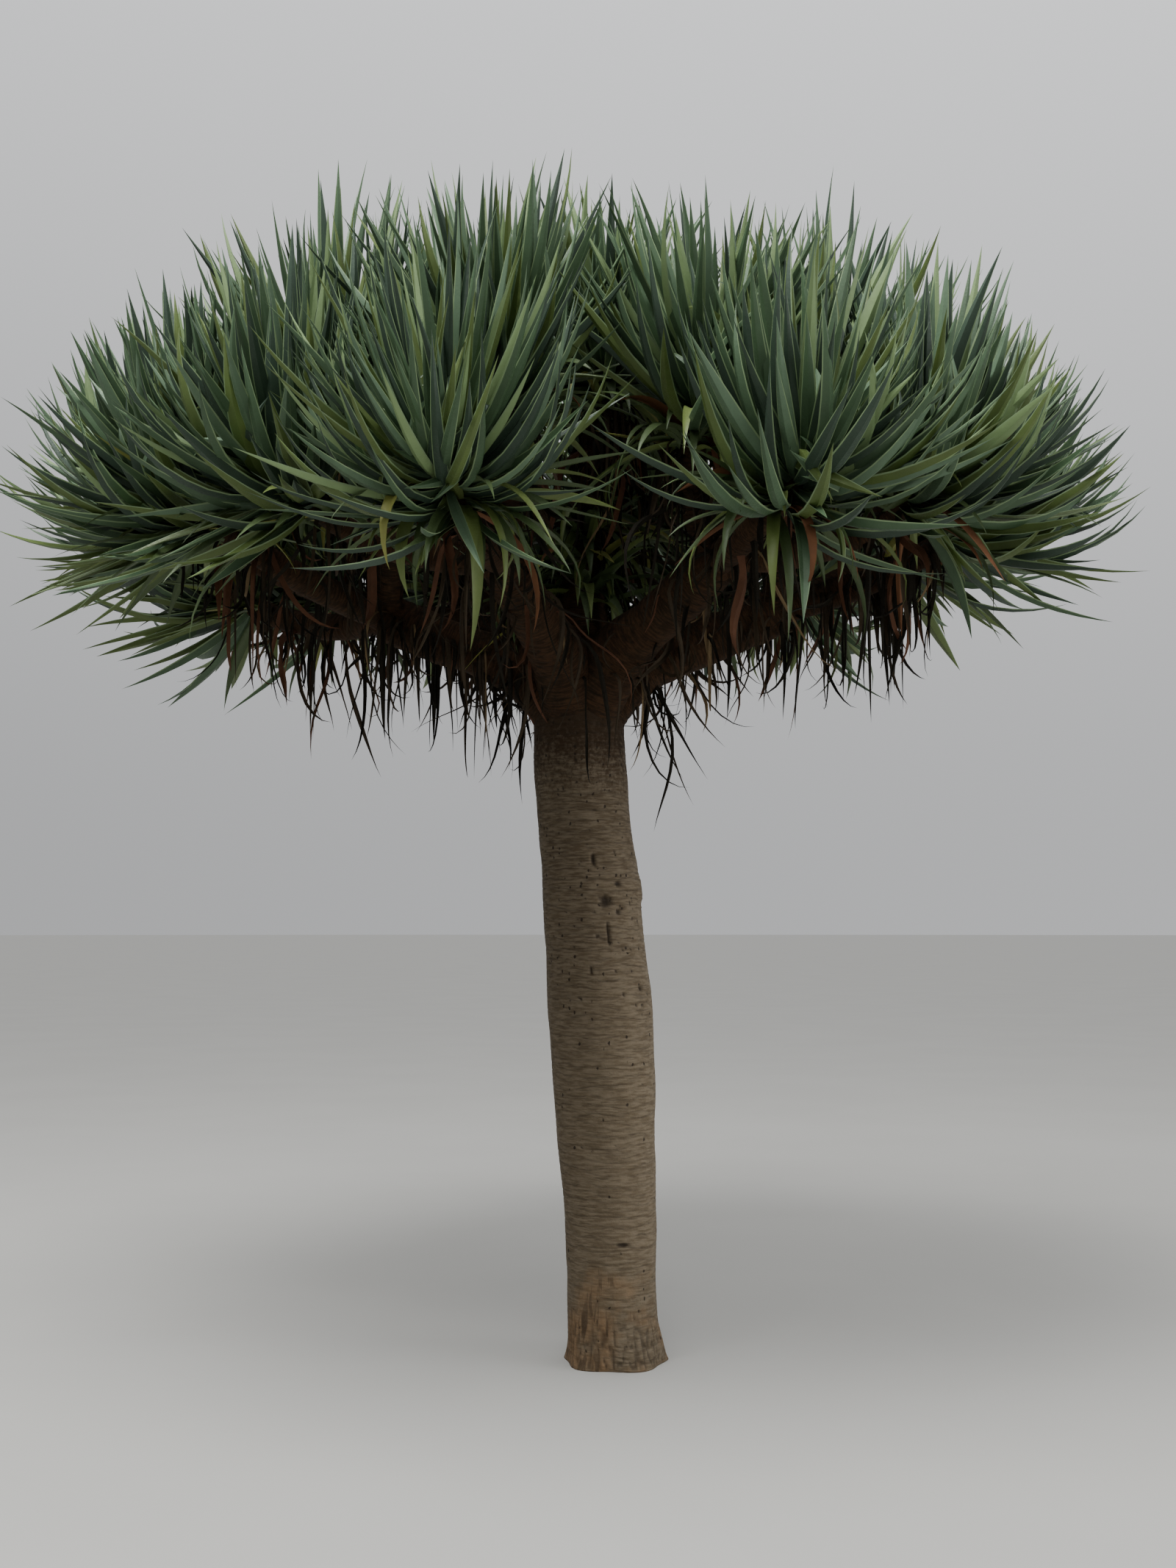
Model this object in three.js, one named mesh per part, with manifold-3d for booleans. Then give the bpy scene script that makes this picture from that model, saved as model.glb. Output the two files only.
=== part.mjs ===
// Dragon tree: one bare leaning trunk that ends in a fork of seven boughs. Each bough forks again into
// limbs, and each limb carries one rosette of sword-shaped leaves. The rosettes make a flat-topped dome.
// Millimetres, +Z up. The origin is the centre of the flat cut under the trunk, at ground level.
import * as THREE from "three";
import { mergeVertices } from "three/addons/utils/BufferGeometryUtils.js";
import Module from "manifold-3d";

const SEED = 16;
const GAP = 0.3;
const GOLDEN_ANGLE = Math.PI * (3 - Math.sqrt(5));
const UP = new THREE.Vector3(0, 0, 1);

// Trunk outline from the ground up: height, radius, and how far the centre has leaned along X.
const TRUNK_OUTLINE = [
  { height: 0, radius: 178, lean: 0 },
  { height: 60, radius: 168, lean: -1 },
  { height: 170, radius: 160, lean: -4 },
  { height: 400, radius: 158, lean: -9 },
  { height: 780, radius: 172, lean: -26 },
  { height: 1240, radius: 184, lean: -50 },
  { height: 1600, radius: 178, lean: -80 },
  { height: 1900, radius: 165, lean: -104 },
  { height: 2090, radius: 167, lean: -117 },
  { height: 2280, radius: 158, lean: -123 },
  { height: 2400, radius: 166, lean: -123 },
  { height: 2470, radius: 138, lean: -123 },
  { height: 2500, radius: 70, lean: -123 },
];
const TRUNK_SIDES = 20;
const TRUNK_RINGS = 15;
const FLARE = { height: 150, depth: 12, lobes: 5, turn: 0.2 };
const FORK = new THREE.Vector3(-123, 0, 2385);
const CROWN_AXIS = { x: -160, y: 0 };

// Boughs: compass angle in degrees from +X, how far the tip is from the fork's axis, and how high it is.
const BOUGHS = [
  { name: "right", angle: -4, reach: 720, height: 2640 },
  { name: "front_right", angle: -50, reach: 720, height: 2720 },
  { name: "front_left", angle: -111, reach: 680, height: 2690 },
  { name: "left", angle: 181, reach: 700, height: 2620 },
  { name: "back_left", angle: 121, reach: 740, height: 2730 },
  { name: "back_right", angle: 56, reach: 740, height: 2700 },
  { name: "middle", angle: 80, reach: 120, height: 3000 },
];
const BOUGH = { rootRadius: 98, waistRadius: 84, tipRadius: 84, sides: 8 };
const LIMB = { rootRadius: 57, tipRadius: 45, sides: 6, bow: 0.45 };

// Rings of rosettes: the compass angle of each heart, its distance from the crown's axis and its height,
// the tilt of the rosettes' axes above the horizon, and their leaves. The front ones follow the tree; the
// rest are spaced evenly round it.
const RINGS = [
  {
    name: "outer",
    places: [
      [-134, 1280, 2880],
      [-104, 1300, 2810],
      [-58, 1360, 2850],
      [-35, 1400, 2920],
      [-7, 1460, 2920],
      [18, 1420, 2960],
      [42, 1400, 2880],
      [66, 1420, 2970],
      [90, 1400, 2880],
      [114, 1420, 2960],
      [138, 1400, 2880],
      [160, 1440, 2800],
      [181, 1470, 2980],
      [204, 1380, 2900],
    ],
    tilt: 27,
    leaves: 20,
    dead: 3,
  },
  {
    name: "inner",
    places: [
      [-150, 920, 3250],
      [-106, 900, 3240],
      [-61, 920, 3180],
      [-16, 940, 3290],
      [30, 930, 3280],
      [75, 930, 3320],
      [120, 930, 3280],
      [165, 940, 3300],
    ],
    tilt: 55,
    leaves: 18,
    dead: 0,
  },
  {
    name: "top",
    places: [
      [-70, 360, 3480],
      [50, 360, 3540],
      [170, 360, 3500],
    ],
    tilt: 76,
    leaves: 18,
    dead: 0,
  },
];
const JITTER = { angle: 1.5, reach: 20, height: 15, tilt: 6 };

// Rosette: a heart of packed leaf bases on a short stem, with the leaves standing out of it.
const HEART = [
  { along: 0, radius: 46 },
  { along: 90, radius: 76 },
  { along: 215, radius: 138 },
  { along: 400, radius: 0 },
];
const HEART_SIDES = 6;
const HEART_CENTRE = 160;
const LEAF = {
  length: 625,
  shortest: 0.86,
  longest: 1.02,
  width: 80,
  baseWidth: 16,
  keel: 13,
  kneeAt: 0.44,
  sunk: 20,
  topRoot: 25,
  footRoot: -40,
  topCosine: 0.985,
  footCosine: -0.22,
  topLift: 0.12,
  footLift: 0.75,
  droop: 0.12,
  splay: 0.5,
};
const DEAD_LEAF = { length: 640, width: 46, out: 130, drop: 90, from: 60, spread: 75 };
// A leaf that meets another rosette's space is drawn in by these shares at each try.
const DRAW_IN = { tries: 5, angle: 0.12, length: 0.06 };
const CELL_MARGIN = 6;

const green = new THREE.MeshStandardMaterial({ color: 0x4c5f45, roughness: 0.62, metalness: 0 });
const bark = new THREE.MeshStandardMaterial({ color: 0x7a6c5b, roughness: 0.92, metalness: 0 });

const wasm = await Module();
wasm.setup();
const { Manifold } = wasm;

// Seeded random numbers from 0 to 1, the same on every run.
function randomFrom(seed) {
  let state = seed >>> 0;
  return () => {
    state = (state + 0x6d2b79f5) >>> 0;
    let mixed = Math.imul(state ^ (state >>> 15), 1 | state);
    mixed = (mixed + Math.imul(mixed ^ (mixed >>> 7), 61 | mixed)) ^ mixed;
    return ((mixed ^ (mixed >>> 14)) >>> 0) / 4294967296;
  };
}

const radians = THREE.MathUtils.degToRad;
const lerp = THREE.MathUtils.lerp;

// The point at a compass angle and a distance from an upright axis, at a height.
function pointAround(axis, angle, reach, height) {
  const turn = radians(angle);
  return new THREE.Vector3(axis.x + reach * Math.cos(turn), axis.y + reach * Math.sin(turn), height);
}

// Any unit vector square to a direction.
function squareTo(direction) {
  const helper = Math.abs(direction.z) > 0.9 ? new THREE.Vector3(1, 0, 0) : UP;
  return new THREE.Vector3().crossVectors(helper, direction).normalize();
}

// Turns a closed cylinder or cone into a manifold solid: place() says where the point of a ring goes,
// from the ring's number and the point's cosine and sine round the axis, both 0 at a cap's centre.
function solidFromRings(rings, sides, pointed, place) {
  const geometry = new THREE.CylinderGeometry(pointed ? 0 : 1, 1, 1, sides, rings - 1);
  geometry.deleteAttribute("normal");
  geometry.deleteAttribute("uv");
  const position = geometry.attributes.position;
  for (let i = 0; i < position.count; i++) {
    const ring = Math.round((position.getY(i) + 0.5) * (rings - 1));
    const radius = Math.hypot(position.getX(i), position.getZ(i));
    const cos = radius > 1e-6 ? position.getX(i) / radius : 0;
    const sin = radius > 1e-6 ? position.getZ(i) / radius : 0;
    const point = place(ring, cos, sin);
    position.setXYZ(i, point.x, point.y, point.z);
  }
  const merged = mergeVertices(geometry, 1e-3);
  return new Manifold(
    new wasm.Mesh({
      numProp: 3,
      vertProperties: merged.attributes.position.array,
      triVerts: new Uint32Array(merged.index.array),
    }),
  );
}

// The largest body of a solid: loose scraps are dropped and sealed hollows are filled.
function largestBody(solid) {
  return solid.decompose().sort((a, b) => b.volume() - a.volume())[0];
}

function meshFrom(name, solid, material) {
  const data = solid.getMesh();
  const geometry = new THREE.BufferGeometry();
  geometry.setAttribute("position", new THREE.BufferAttribute(data.vertProperties, 3));
  geometry.setIndex(new THREE.BufferAttribute(data.triVerts, 1));
  const mesh = new THREE.Mesh(geometry.toNonIndexed(), material);
  mesh.geometry.computeVertexNormals();
  mesh.name = name;
  return mesh;
}

// Trunk, grown by a clearance where it is used to cut its neighbours.
function trunkSolid(clearance) {
  const outline = new THREE.CatmullRomCurve3(
    TRUNK_OUTLINE.map((row) => new THREE.Vector3(row.radius, row.lean, row.height)),
    false,
    "centripetal",
  );
  const rows = outline.getPoints(TRUNK_RINGS - 1);
  const top = rows[rows.length - 1];
  return solidFromRings(TRUNK_RINGS, TRUNK_SIDES, false, (ring, cos, sin) => {
    const row = rows[ring];
    const flare = Math.max(0, 1 - row.z / FLARE.height) ** 2;
    const lobe = Math.cos(FLARE.lobes * (Math.atan2(sin, cos) + FLARE.turn));
    const radius = row.x + clearance + FLARE.depth * flare * lobe;
    const height = row === top ? row.z + clearance : row.z;
    return new THREE.Vector3(row.y + radius * cos, -radius * sin, height);
  });
}

// One tapering limb along a curve. Its profile lists a share of the curve's length and a radius.
function limbSolid(curve, profile, sides, clearance) {
  const start = curve.getPointAt(0);
  const end = curve.getPointAt(1);
  const middle = curve.getPointAt(0.5);
  const plane = new THREE.Vector3().crossVectors(middle.clone().sub(start), end.clone().sub(middle));
  const across = plane.length() > 1 ? plane.normalize() : squareTo(curve.getTangentAt(0.5));
  const last = profile.length - 1;
  return solidFromRings(profile.length, sides, false, (ring, cos, sin) => {
    const { share, radius } = profile[ring];
    const tangent = curve.getTangentAt(Math.min(1, share));
    const beside = new THREE.Vector3().crossVectors(across, tangent).normalize();
    const beyond = ring === last ? clearance : ring === 0 ? -clearance : 0;
    return curve
      .getPointAt(Math.min(1, share))
      .addScaledVector(tangent, Math.max(0, share - 1) * curve.getLength() + beyond)
      .addScaledVector(across, cos * (radius + clearance))
      .addScaledVector(beside, sin * (radius + clearance));
  });
}

// Bough: from the fork's centre to a rounded knuckle at its tip, where its limbs start.
function planBough({ name, angle, reach, height }) {
  const tip = pointAround(FORK, angle, reach, height);
  const elbow = FORK.clone().lerp(tip, 0.55).addScaledVector(UP, -0.06 * reach);
  const curve = new THREE.QuadraticBezierCurve3(FORK.clone(), elbow, tip);
  const knuckle = BOUGH.tipRadius / curve.getLength();
  const profile = [
    { share: 0, radius: BOUGH.rootRadius },
    { share: 0.33, radius: BOUGH.rootRadius },
    { share: 0.7, radius: BOUGH.waistRadius },
    { share: 1, radius: BOUGH.tipRadius },
    { share: 1 + 0.55 * knuckle, radius: BOUGH.tipRadius * 0.82 },
    { share: 1 + 0.9 * knuckle, radius: BOUGH.tipRadius * 0.35 },
  ];
  return {
    name: `bough_${name}`,
    tip,
    solid: (clearance) => limbSolid(curve, profile, BOUGH.sides, clearance),
  };
}

// Rosette: where its heart is, which way it faces and which bough it hangs on.
function planRosette(ring, index, boughs, random) {
  const wander = (size) => size * (2 * random() - 1);
  const [ringAngle, ringReach, ringHeight] = ring.places[index];
  const turned = ringAngle + wander(JITTER.angle);
  const reach = ringReach + wander(JITTER.reach);
  const height = ringHeight + wander(JITTER.height);
  const tilt = radians(ring.tilt + wander(JITTER.tilt));
  const heart = pointAround(CROWN_AXIS, turned, reach, height);
  const outward = new THREE.Vector3(Math.cos(radians(turned)), Math.sin(radians(turned)), 0);
  const axis = outward.multiplyScalar(Math.cos(tilt)).addScaledVector(UP, Math.sin(tilt));
  const carriers = ring.name === "top" ? boughs.slice(-1) : boughs.slice(0, -1);
  const bough = carriers.reduce((best, other) =>
    other.tip.distanceTo(heart) < best.tip.distanceTo(heart) ? other : best,
  );
  return {
    name: `${ring.name}_${String(index + 1).padStart(2, "0")}`,
    heart,
    axis,
    foot: heart.clone().addScaledVector(axis, -HEART_CENTRE),
    bough,
    ring,
    phase: 2 * Math.PI * random(),
    random,
  };
}

// Limb: from its bough's knuckle to the flat foot of its rosette, turning into the rosette's axis.
function planLimb(rosette) {
  const { bough, foot, axis, name } = rosette;
  const span = bough.tip.distanceTo(foot);
  const elbow = foot.clone().addScaledVector(axis, -LIMB.bow * span);
  const curve = new THREE.QuadraticBezierCurve3(bough.tip.clone(), elbow, foot.clone());
  const profile = [0, 0.36, 0.68, 1].map((share) => ({
    share,
    radius: lerp(LIMB.rootRadius, LIMB.tipRadius, share),
  }));
  return {
    name: `limb_${name}`,
    solid: (clearance) => limbSolid(curve, profile, LIMB.sides, clearance),
  };
}

// A leaf is a keeled blade with a knee: two straight stretches from its base to its tip.
function bladeSolid(base, knee, tip, across, width, baseWidth, keel) {
  const lower = knee.clone().sub(base).normalize();
  const upper = tip.clone().sub(knee).normalize();
  const stations = [
    { centre: base, along: lower, width: baseWidth, keel },
    { centre: knee, along: lower.clone().add(upper).normalize(), width, keel: keel * 0.8 },
  ];
  return solidFromRings(3, 3, true, (ring, cos, sin) => {
    if (ring === 2) return tip;
    const { centre, along, width: wide, keel: deep } = stations[ring];
    const under = new THREE.Vector3().crossVectors(across, along).normalize();
    return centre
      .clone()
      .addScaledVector(across, (cos * wide) / Math.sqrt(3))
      .addScaledVector(under, (sin * deep) / 1.5);
  });
}

// The knee's margins and the tip: if these are in a convex space, so is the blade outside its heart.
function bladeCorners(knee, tip, across, width) {
  return [
    tip,
    knee.clone().addScaledVector(across, width / 2),
    knee.clone().addScaledVector(across, -width / 2),
  ];
}

// A rosette keeps to the points that are nearer to its own heart than to any other.
function inOwnSpace(point, rosette, rosettes) {
  const own = point.distanceTo(rosette.heart);
  return rosettes.every(
    (other) => other === rosette || point.distanceTo(other.heart) - own > 2 * CELL_MARGIN,
  );
}

// Living leaf: its order runs from 0 at the heart's top to 1 at its foot. Most curve up from the knee;
// those on the underside splay outwards and droop. A leaf that would leave the rosette's space is drawn
// in towards the axis, as in the crowded crown, and left out if that isn't enough.
function livingLeaf(rosette, rosettes, number, count) {
  const { axis, heart, random } = rosette;
  const order = (number + 0.5) / count;
  const turn = rosette.phase + number * GOLDEN_ANGLE;
  const east = squareTo(axis);
  const north = new THREE.Vector3().crossVectors(axis, east);
  const radial = east.multiplyScalar(Math.cos(turn)).addScaledVector(north, Math.sin(turn));
  const across = new THREE.Vector3().crossVectors(axis, radial).normalize();
  const outward = new THREE.Vector3(axis.x, axis.y, 0).normalize();
  const fullLength = LEAF.length * lerp(LEAF.shortest, LEAF.longest, random());
  const widest = Math.acos(lerp(LEAF.topCosine, LEAF.footCosine, order));
  for (let drawnIn = 0; drawnIn < DRAW_IN.tries; drawnIn++) {
    const angle = widest * (1 - DRAW_IN.angle * drawnIn);
    const length = fullLength * (1 - DRAW_IN.length * drawnIn);
    const heading = axis.clone().multiplyScalar(Math.cos(angle)).addScaledVector(radial, Math.sin(angle));
    if (heading.z < 0) heading.addScaledVector(outward, -LEAF.splay * heading.z).normalize();
    const lift = heading.z < -0.1 ? -LEAF.droop : lerp(LEAF.topLift, LEAF.footLift, order);
    const upper = heading.clone().addScaledVector(UP, lift).normalize();
    const base = heart
      .clone()
      .addScaledVector(axis, lerp(LEAF.topRoot, LEAF.footRoot, order))
      .addScaledVector(radial, LEAF.sunk);
    const knee = base.clone().addScaledVector(heading, LEAF.kneeAt * length);
    const tip = knee.clone().addScaledVector(upper, (1 - LEAF.kneeAt) * length);
    const corners = bladeCorners(knee, tip, across, LEAF.width);
    if (corners.every((corner) => inOwnSpace(corner, rosette, rosettes)))
      return bladeSolid(base, knee, tip, across, LEAF.width, LEAF.baseWidth, LEAF.keel);
  }
  return null;
}

// Dead leaf: folds over just under the heart and hangs straight down.
function deadLeaf(rosette, rosettes, number, count) {
  const { axis, foot, random } = rosette;
  const outward = new THREE.Vector3(axis.x, axis.y, 0).normalize();
  const spread = radians(lerp(-DEAD_LEAF.spread, DEAD_LEAF.spread, (number + 0.5) / count));
  const heading = outward.applyAxisAngle(UP, spread);
  const across = new THREE.Vector3().crossVectors(UP, heading).normalize();
  const base = foot.clone().addScaledVector(axis, DEAD_LEAF.from);
  const knee = base
    .clone()
    .addScaledVector(heading, DEAD_LEAF.out)
    .addScaledVector(UP, -DEAD_LEAF.drop * lerp(0.7, 1.3, random()));
  const tip = knee
    .clone()
    .addScaledVector(heading, 20)
    .addScaledVector(UP, -(DEAD_LEAF.length - DEAD_LEAF.out) * lerp(0.75, 1.05, random()));
  const corners = bladeCorners(knee, tip, across, DEAD_LEAF.width);
  return corners.every((corner) => inOwnSpace(corner, rosette, rosettes))
    ? bladeSolid(base, knee, tip, across, DEAD_LEAF.width, DEAD_LEAF.width, LEAF.keel)
    : null;
}

// The heart and the stem under it, on the rosette's axis, clear of the limb by the gap.
function heartSolid({ foot, axis }) {
  const east = squareTo(axis);
  const north = new THREE.Vector3().crossVectors(east, axis);
  return solidFromRings(HEART.length, HEART_SIDES, true, (ring, cos, sin) => {
    const { along, radius } = HEART[ring];
    return foot
      .clone()
      .addScaledVector(axis, along + GAP)
      .addScaledVector(east, radius * cos)
      .addScaledVector(north, radius * sin);
  });
}

// One mass of foliage: the heart with every leaf that keeps its space and clears the limbs, fused on.
function rosetteSolid(rosette, rosettes, woodwork) {
  const { leaves, dead } = rosette.ring;
  const blades = [
    ...Array.from({ length: leaves }, (_, i) => livingLeaf(rosette, rosettes, i, leaves)),
    ...Array.from({ length: dead }, (_, i) => deadLeaf(rosette, rosettes, i, dead)),
  ];
  const clear = blades.filter((blade) => blade && blade.intersect(woodwork).isEmpty());
  return largestBody(Manifold.union([heartSolid(rosette), ...clear]).simplify(1));
}

// Wood is built in order, each piece cut clear of the pieces before it.
function buildWood(plans) {
  const grown = [];
  const built = plans.map((plan) => {
    const cutters = grown.length ? Manifold.union(grown) : null;
    const whole = plan.solid(0);
    const solid = cutters ? whole.subtract(cutters) : whole;
    grown.push(plan.solid(GAP));
    return { name: plan.name, solid: largestBody(solid.simplify(0.05)) };
  });
  return { built, woodwork: Manifold.union(grown) };
}

const random = randomFrom(SEED);
const boughs = BOUGHS.map(planBough);
const rosettes = RINGS.flatMap((ring) =>
  ring.places.map((_, index) => planRosette(ring, index, boughs, random)),
);
const topFirst = [...rosettes].reverse();
const { built: wood, woodwork } = buildWood([
  { name: "trunk", solid: trunkSolid },
  ...boughs,
  ...topFirst.map(planLimb),
]);

const tree = new THREE.Group();
for (const { name, solid } of wood) tree.add(meshFrom(name, solid, bark));
for (const rosette of rosettes) {
  const solid = rosetteSolid(rosette, rosettes, woodwork);
  tree.add(meshFrom(`foliage_${rosette.name}`, solid, green));
}

export default tree;
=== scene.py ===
"""Dragon tree: bark, boughs, sword leaves and dead fringe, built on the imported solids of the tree.

Metres, +Z up. The origin is the centre of the flat cut under the trunk, and the photographed side faces -Y.
"""

import itertools
import math
from dataclasses import dataclass, fields

import bpy
import numpy as np
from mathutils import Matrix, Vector


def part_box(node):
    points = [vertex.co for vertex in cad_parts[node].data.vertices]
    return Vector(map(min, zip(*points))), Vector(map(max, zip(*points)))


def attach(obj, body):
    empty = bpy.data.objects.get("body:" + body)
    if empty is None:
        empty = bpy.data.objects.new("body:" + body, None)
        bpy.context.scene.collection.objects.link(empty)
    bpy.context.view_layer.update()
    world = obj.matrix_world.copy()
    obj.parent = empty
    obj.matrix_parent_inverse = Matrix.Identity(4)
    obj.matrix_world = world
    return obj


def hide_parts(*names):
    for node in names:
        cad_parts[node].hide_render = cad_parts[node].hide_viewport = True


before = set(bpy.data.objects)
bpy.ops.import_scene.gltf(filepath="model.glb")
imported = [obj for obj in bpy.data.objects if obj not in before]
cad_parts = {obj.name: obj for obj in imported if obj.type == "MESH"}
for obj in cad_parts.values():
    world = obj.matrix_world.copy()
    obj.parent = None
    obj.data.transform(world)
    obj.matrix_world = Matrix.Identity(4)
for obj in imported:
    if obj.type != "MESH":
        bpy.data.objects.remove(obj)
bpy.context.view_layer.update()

bl_info = {
    "name": "Dragon Tree",
    "version": (1, 0, 0),
    "blender": (4, 5, 0),
    "location": "View3D > Sidebar > Dragon Tree",
    "description": "Builds the bark, boughs and leaves of a dragon tree",
    "category": "Add Mesh",
}

UP = np.array([0.0, 0.0, 1.0])
GOLDEN_ANGLE = math.pi * (3 - math.sqrt(5))
SEED = 16
LEAF_SEED = 7

# Fork, crown and rings of rosettes: the rule that the solids follow.
FORK = np.array([-0.123, 0.0, 2.385])
CROWN_AXIS = np.array([-0.160, 0.0, 0.0])
# Name: compass angle in degrees from +X, reach of the tip from the fork, height of the tip.
BOUGHS = {
    "right": (-4, 0.720, 2.640),
    "front_right": (-50, 0.720, 2.720),
    "front_left": (-111, 0.680, 2.690),
    "left": (181, 0.700, 2.620),
    "back_left": (121, 0.740, 2.730),
    "back_right": (56, 0.740, 2.700),
    "middle": (80, 0.120, 3.000),
}
# Compass angle, reach and height of each heart of a ring, and the tilt of their axes above the horizon.
RINGS = {
    "outer": (
        [
            (-134, 1.28, 2.88), (-104, 1.30, 2.81), (-58, 1.36, 2.85), (-35, 1.40, 2.92), (-7, 1.46, 2.92),
            (18, 1.42, 2.96), (42, 1.40, 2.88), (66, 1.42, 2.97), (90, 1.40, 2.88), (114, 1.42, 2.96),
            (138, 1.40, 2.88), (160, 1.44, 2.80), (181, 1.47, 2.98), (204, 1.38, 2.90),
        ],
        27,
    ),
    "inner": (
        [
            (-150, 0.92, 3.25), (-106, 0.90, 3.24), (-61, 0.92, 3.18), (-16, 0.94, 3.29), (30, 0.93, 3.28),
            (75, 0.93, 3.32), (120, 0.93, 3.28), (165, 0.94, 3.30),
        ],
        55,
    ),
    "top": ([(-70, 0.36, 3.48), (50, 0.36, 3.54), (170, 0.36, 3.50)], 76),
}
JITTER = {"angle": 1.5, "reach": 0.020, "height": 0.015, "tilt": 6}
HEART_CENTRE = 0.160
ELBOW = {"share": 0.55, "sag": 0.06}
LIMB_BOW = 0.45

# How the leaves of a rosette stand, from the youngest at its top to the oldest at its foot.
STANCE = {"top_cosine": 0.985, "foot_cosine": -0.22, "top_root": 0.060, "foot_root": -0.120}
# The lowest start of a leaf, in degrees above the horizontal, how much of the rest below it is kept, and
# how far a leaf that would point down is turned outward.
LOWEST_START = {"degrees": -18, "kept": 0.6, "outward": 0.25}
# How a leaf curves up, from the youngest to the oldest: the steepness that it bends towards, in degrees
# above the horizontal, and how much of the way it gets. A leaf that points at a neighbouring rosette
# curves up by as much as crowded more.
LEAF_CURVES = {
    "order": [0, 0.3, 0.55, 0.75, 0.9, 1],
    "rise": [80, 80, 78, 73, 55, 20],
    "share": [0.57, 0.77, 0.88, 0.84, 0.72, 0.5],
    "steepest": 84, "bend": (-12, 110), "crowded": 16,
}
# How much the leaves of a rosette differ: a spread round the usual value, or the least and the most.
LEAF_SPREAD = {
    "turn": 0.16, "widest": 0.11, "aside": 0.28, "rise": 12, "tip": 0.16, "twist": 0.3,
    "lift": (0.6, 1.35), "length": (0.80, 1.02), "width": (0.86, 1.1), "early": (1.1, 1.8),
}
# The youngest leaves of a rosette, as shares of the others.
YOUNGEST = {"length": 0.74, "width": 0.72}
# Size of the leaves of each ring, and of the rosettes that differ, as a share of a full-grown leaf.
LEAF_SIZES = {
    "outer": 1, "outer_05": 0.96, "outer_06": 0.95, "outer_13": 0.96,
    "inner": 1.02, "inner_01": 1.1, "inner_04": 1.08, "inner_05": 1.1, "inner_08": 1.1,
    "top": 0.90, "top_03": 0.96,
}
# How much longer a leaf on the upper side of its rosette is, as a share.
UPPER_LEAVES = 0.10
# Width of the leaves of each ring, and of the rosettes that differ, as a share of the usual width.
LEAF_WIDTHS = {"outer": 0.96, "outer_02": 0.70, "outer_03": 0.88, "inner": 0.78, "top": 0.76}
# Number of leaves of the rosette that differs, as a share of the usual number.
LEAF_COUNTS = {"outer_02": 1.2}
# Shares of deep, green, glaucous, pale and olive leaves in each ring. The deep tint is painted shade, a
# shaded copy of the leaves' green, and the pale one is partly a painted lit copy, so the top rings, with
# more pale and fewer deep leaves, are painted lighter.
LEAF_TINTS = {
    "outer": [0.30, 0.31, 0.19, 0.10, 0.10],
    "inner": [0.24, 0.34, 0.12, 0.18, 0.12],
    "top": [0.22, 0.34, 0.10, 0.20, 0.14],
}
OLIVE = 4
# Tints of the old low leaves, which have lost their bloom. The deep one among them is painted shade where
# these leaves hang under their rosettes.
LOW_TINTS = [0, 1, OLIVE]
# A leaf is low from this order on, where it points no higher than this.
LOW_LEAVES = {"order": 0.3, "height": 0.25}
# Share of the oldest low leaves that droop, at the sides of the crown and elsewhere.
DROOPING = {
    "outer_01": 0.25, "outer_05": 0.2, "outer_06": 0.3, "outer_12": 0.5, "outer_13": 0.68, "outer_14": 0.62,
}
DROOPING_ELSEWHERE = 0.08
# How drooping leaves bend up, in degrees, and their least and greatest length as a share: long ones at
# the sides of the crown and short ones elsewhere.
LONG_DROOP = {"lift": (8, 48), "length": (0.74, 0.99)}
SHORT_DROOP = {"lift": (-50, 14), "length": (0.5, 0.75)}
# Clawed leaves are short and curl up and back: their share of the low leaves, the angle from the axis and
# the lift in degrees, how much further they turn aside, and the rest as for the other leaves.
CLAWED = {
    "chance": 0.28, "angle": (25, 75), "lift": (90, 165), "aside": 4, "root": (0.05, 0.15),
    "early": (0.8, 1.2), "length": (0.3, 0.6), "width": 0.8,
}
# A leaf that comes this much nearer to another heart is drawn in, each time by a share of its angle and
# of its length.
DRAW_IN = {"tries": 5, "angle": 0.12, "length": 0.05, "overlap": 0.08}

# Yellowing leaves of the rosettes that have fewer or more of them.
OLD_COUNTS = {
    "outer_02": 44, "outer_04": 16, "outer_05": 12, "outer_06": 18,
    "inner_02": 44, "inner_03": 44, "top_01": 44,
}
# Yellowing leaves: radians round from the outward side, degrees above the horizontal, place along the
# axis, distance from it, share that hardly arches and how far the two kinds arch.
OLD_SPREAD = {
    "turn": 2.3, "rise": (-25, 45), "along": (-0.19, -0.09), "away": 0.036, "stiff": 0.3,
    "stiff_arch": (0, 0.7), "arch": (0.9, 2.2), "early": (0.5, 1.2), "tip": 0.3, "twist": 0.5,
    "length": (0.65, 1.25), "width": (0.75, 1.1), "tints": [0.62, 0.27, 0.07, 0.04],
}
# Length and arch of the yellowing leaves at the sides of the crown, as shares of the usual.
OLD_AT_SIDES = {"length": 1.1, "arch": 0.45}
OLD_BLADE = {"thickness": 0.7, "margin": 0.09, "channel": 0.38}
# Collars of yellowing leaves round the middle bough: how far down to the fork, and how much higher.
COLLARS = {"down": (0, 0.2, 0.4), "higher": 0.1}
# Gives an upright axis a level direction, towards the photographed side.
FRONT_NUDGE = np.array([0, -1e-6, 0])

# Dead leaves: share of the length in which they fold over, how far they fall, waves, sway, curl and tints.
# Most take the dark tint, which is partly painted shade in the crown's interior.
DEAD_SPREAD = {
    "fold": (0.10, 0.5), "fall": (0.8, 1.05), "waves": (2, 7), "sway": 0.38, "curl": 1.1, "twist": 2.2,
    "width": (0.35, 1.2), "tints": [0.05, 0.04, 0.28, 0.63],
}
STRAPS = {"length": (0.3, 0.5), "width": 1.8}
DEAD_BLADE = {"thickness": 0.0022, "channel": 0.7, "angle": 70}
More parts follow.
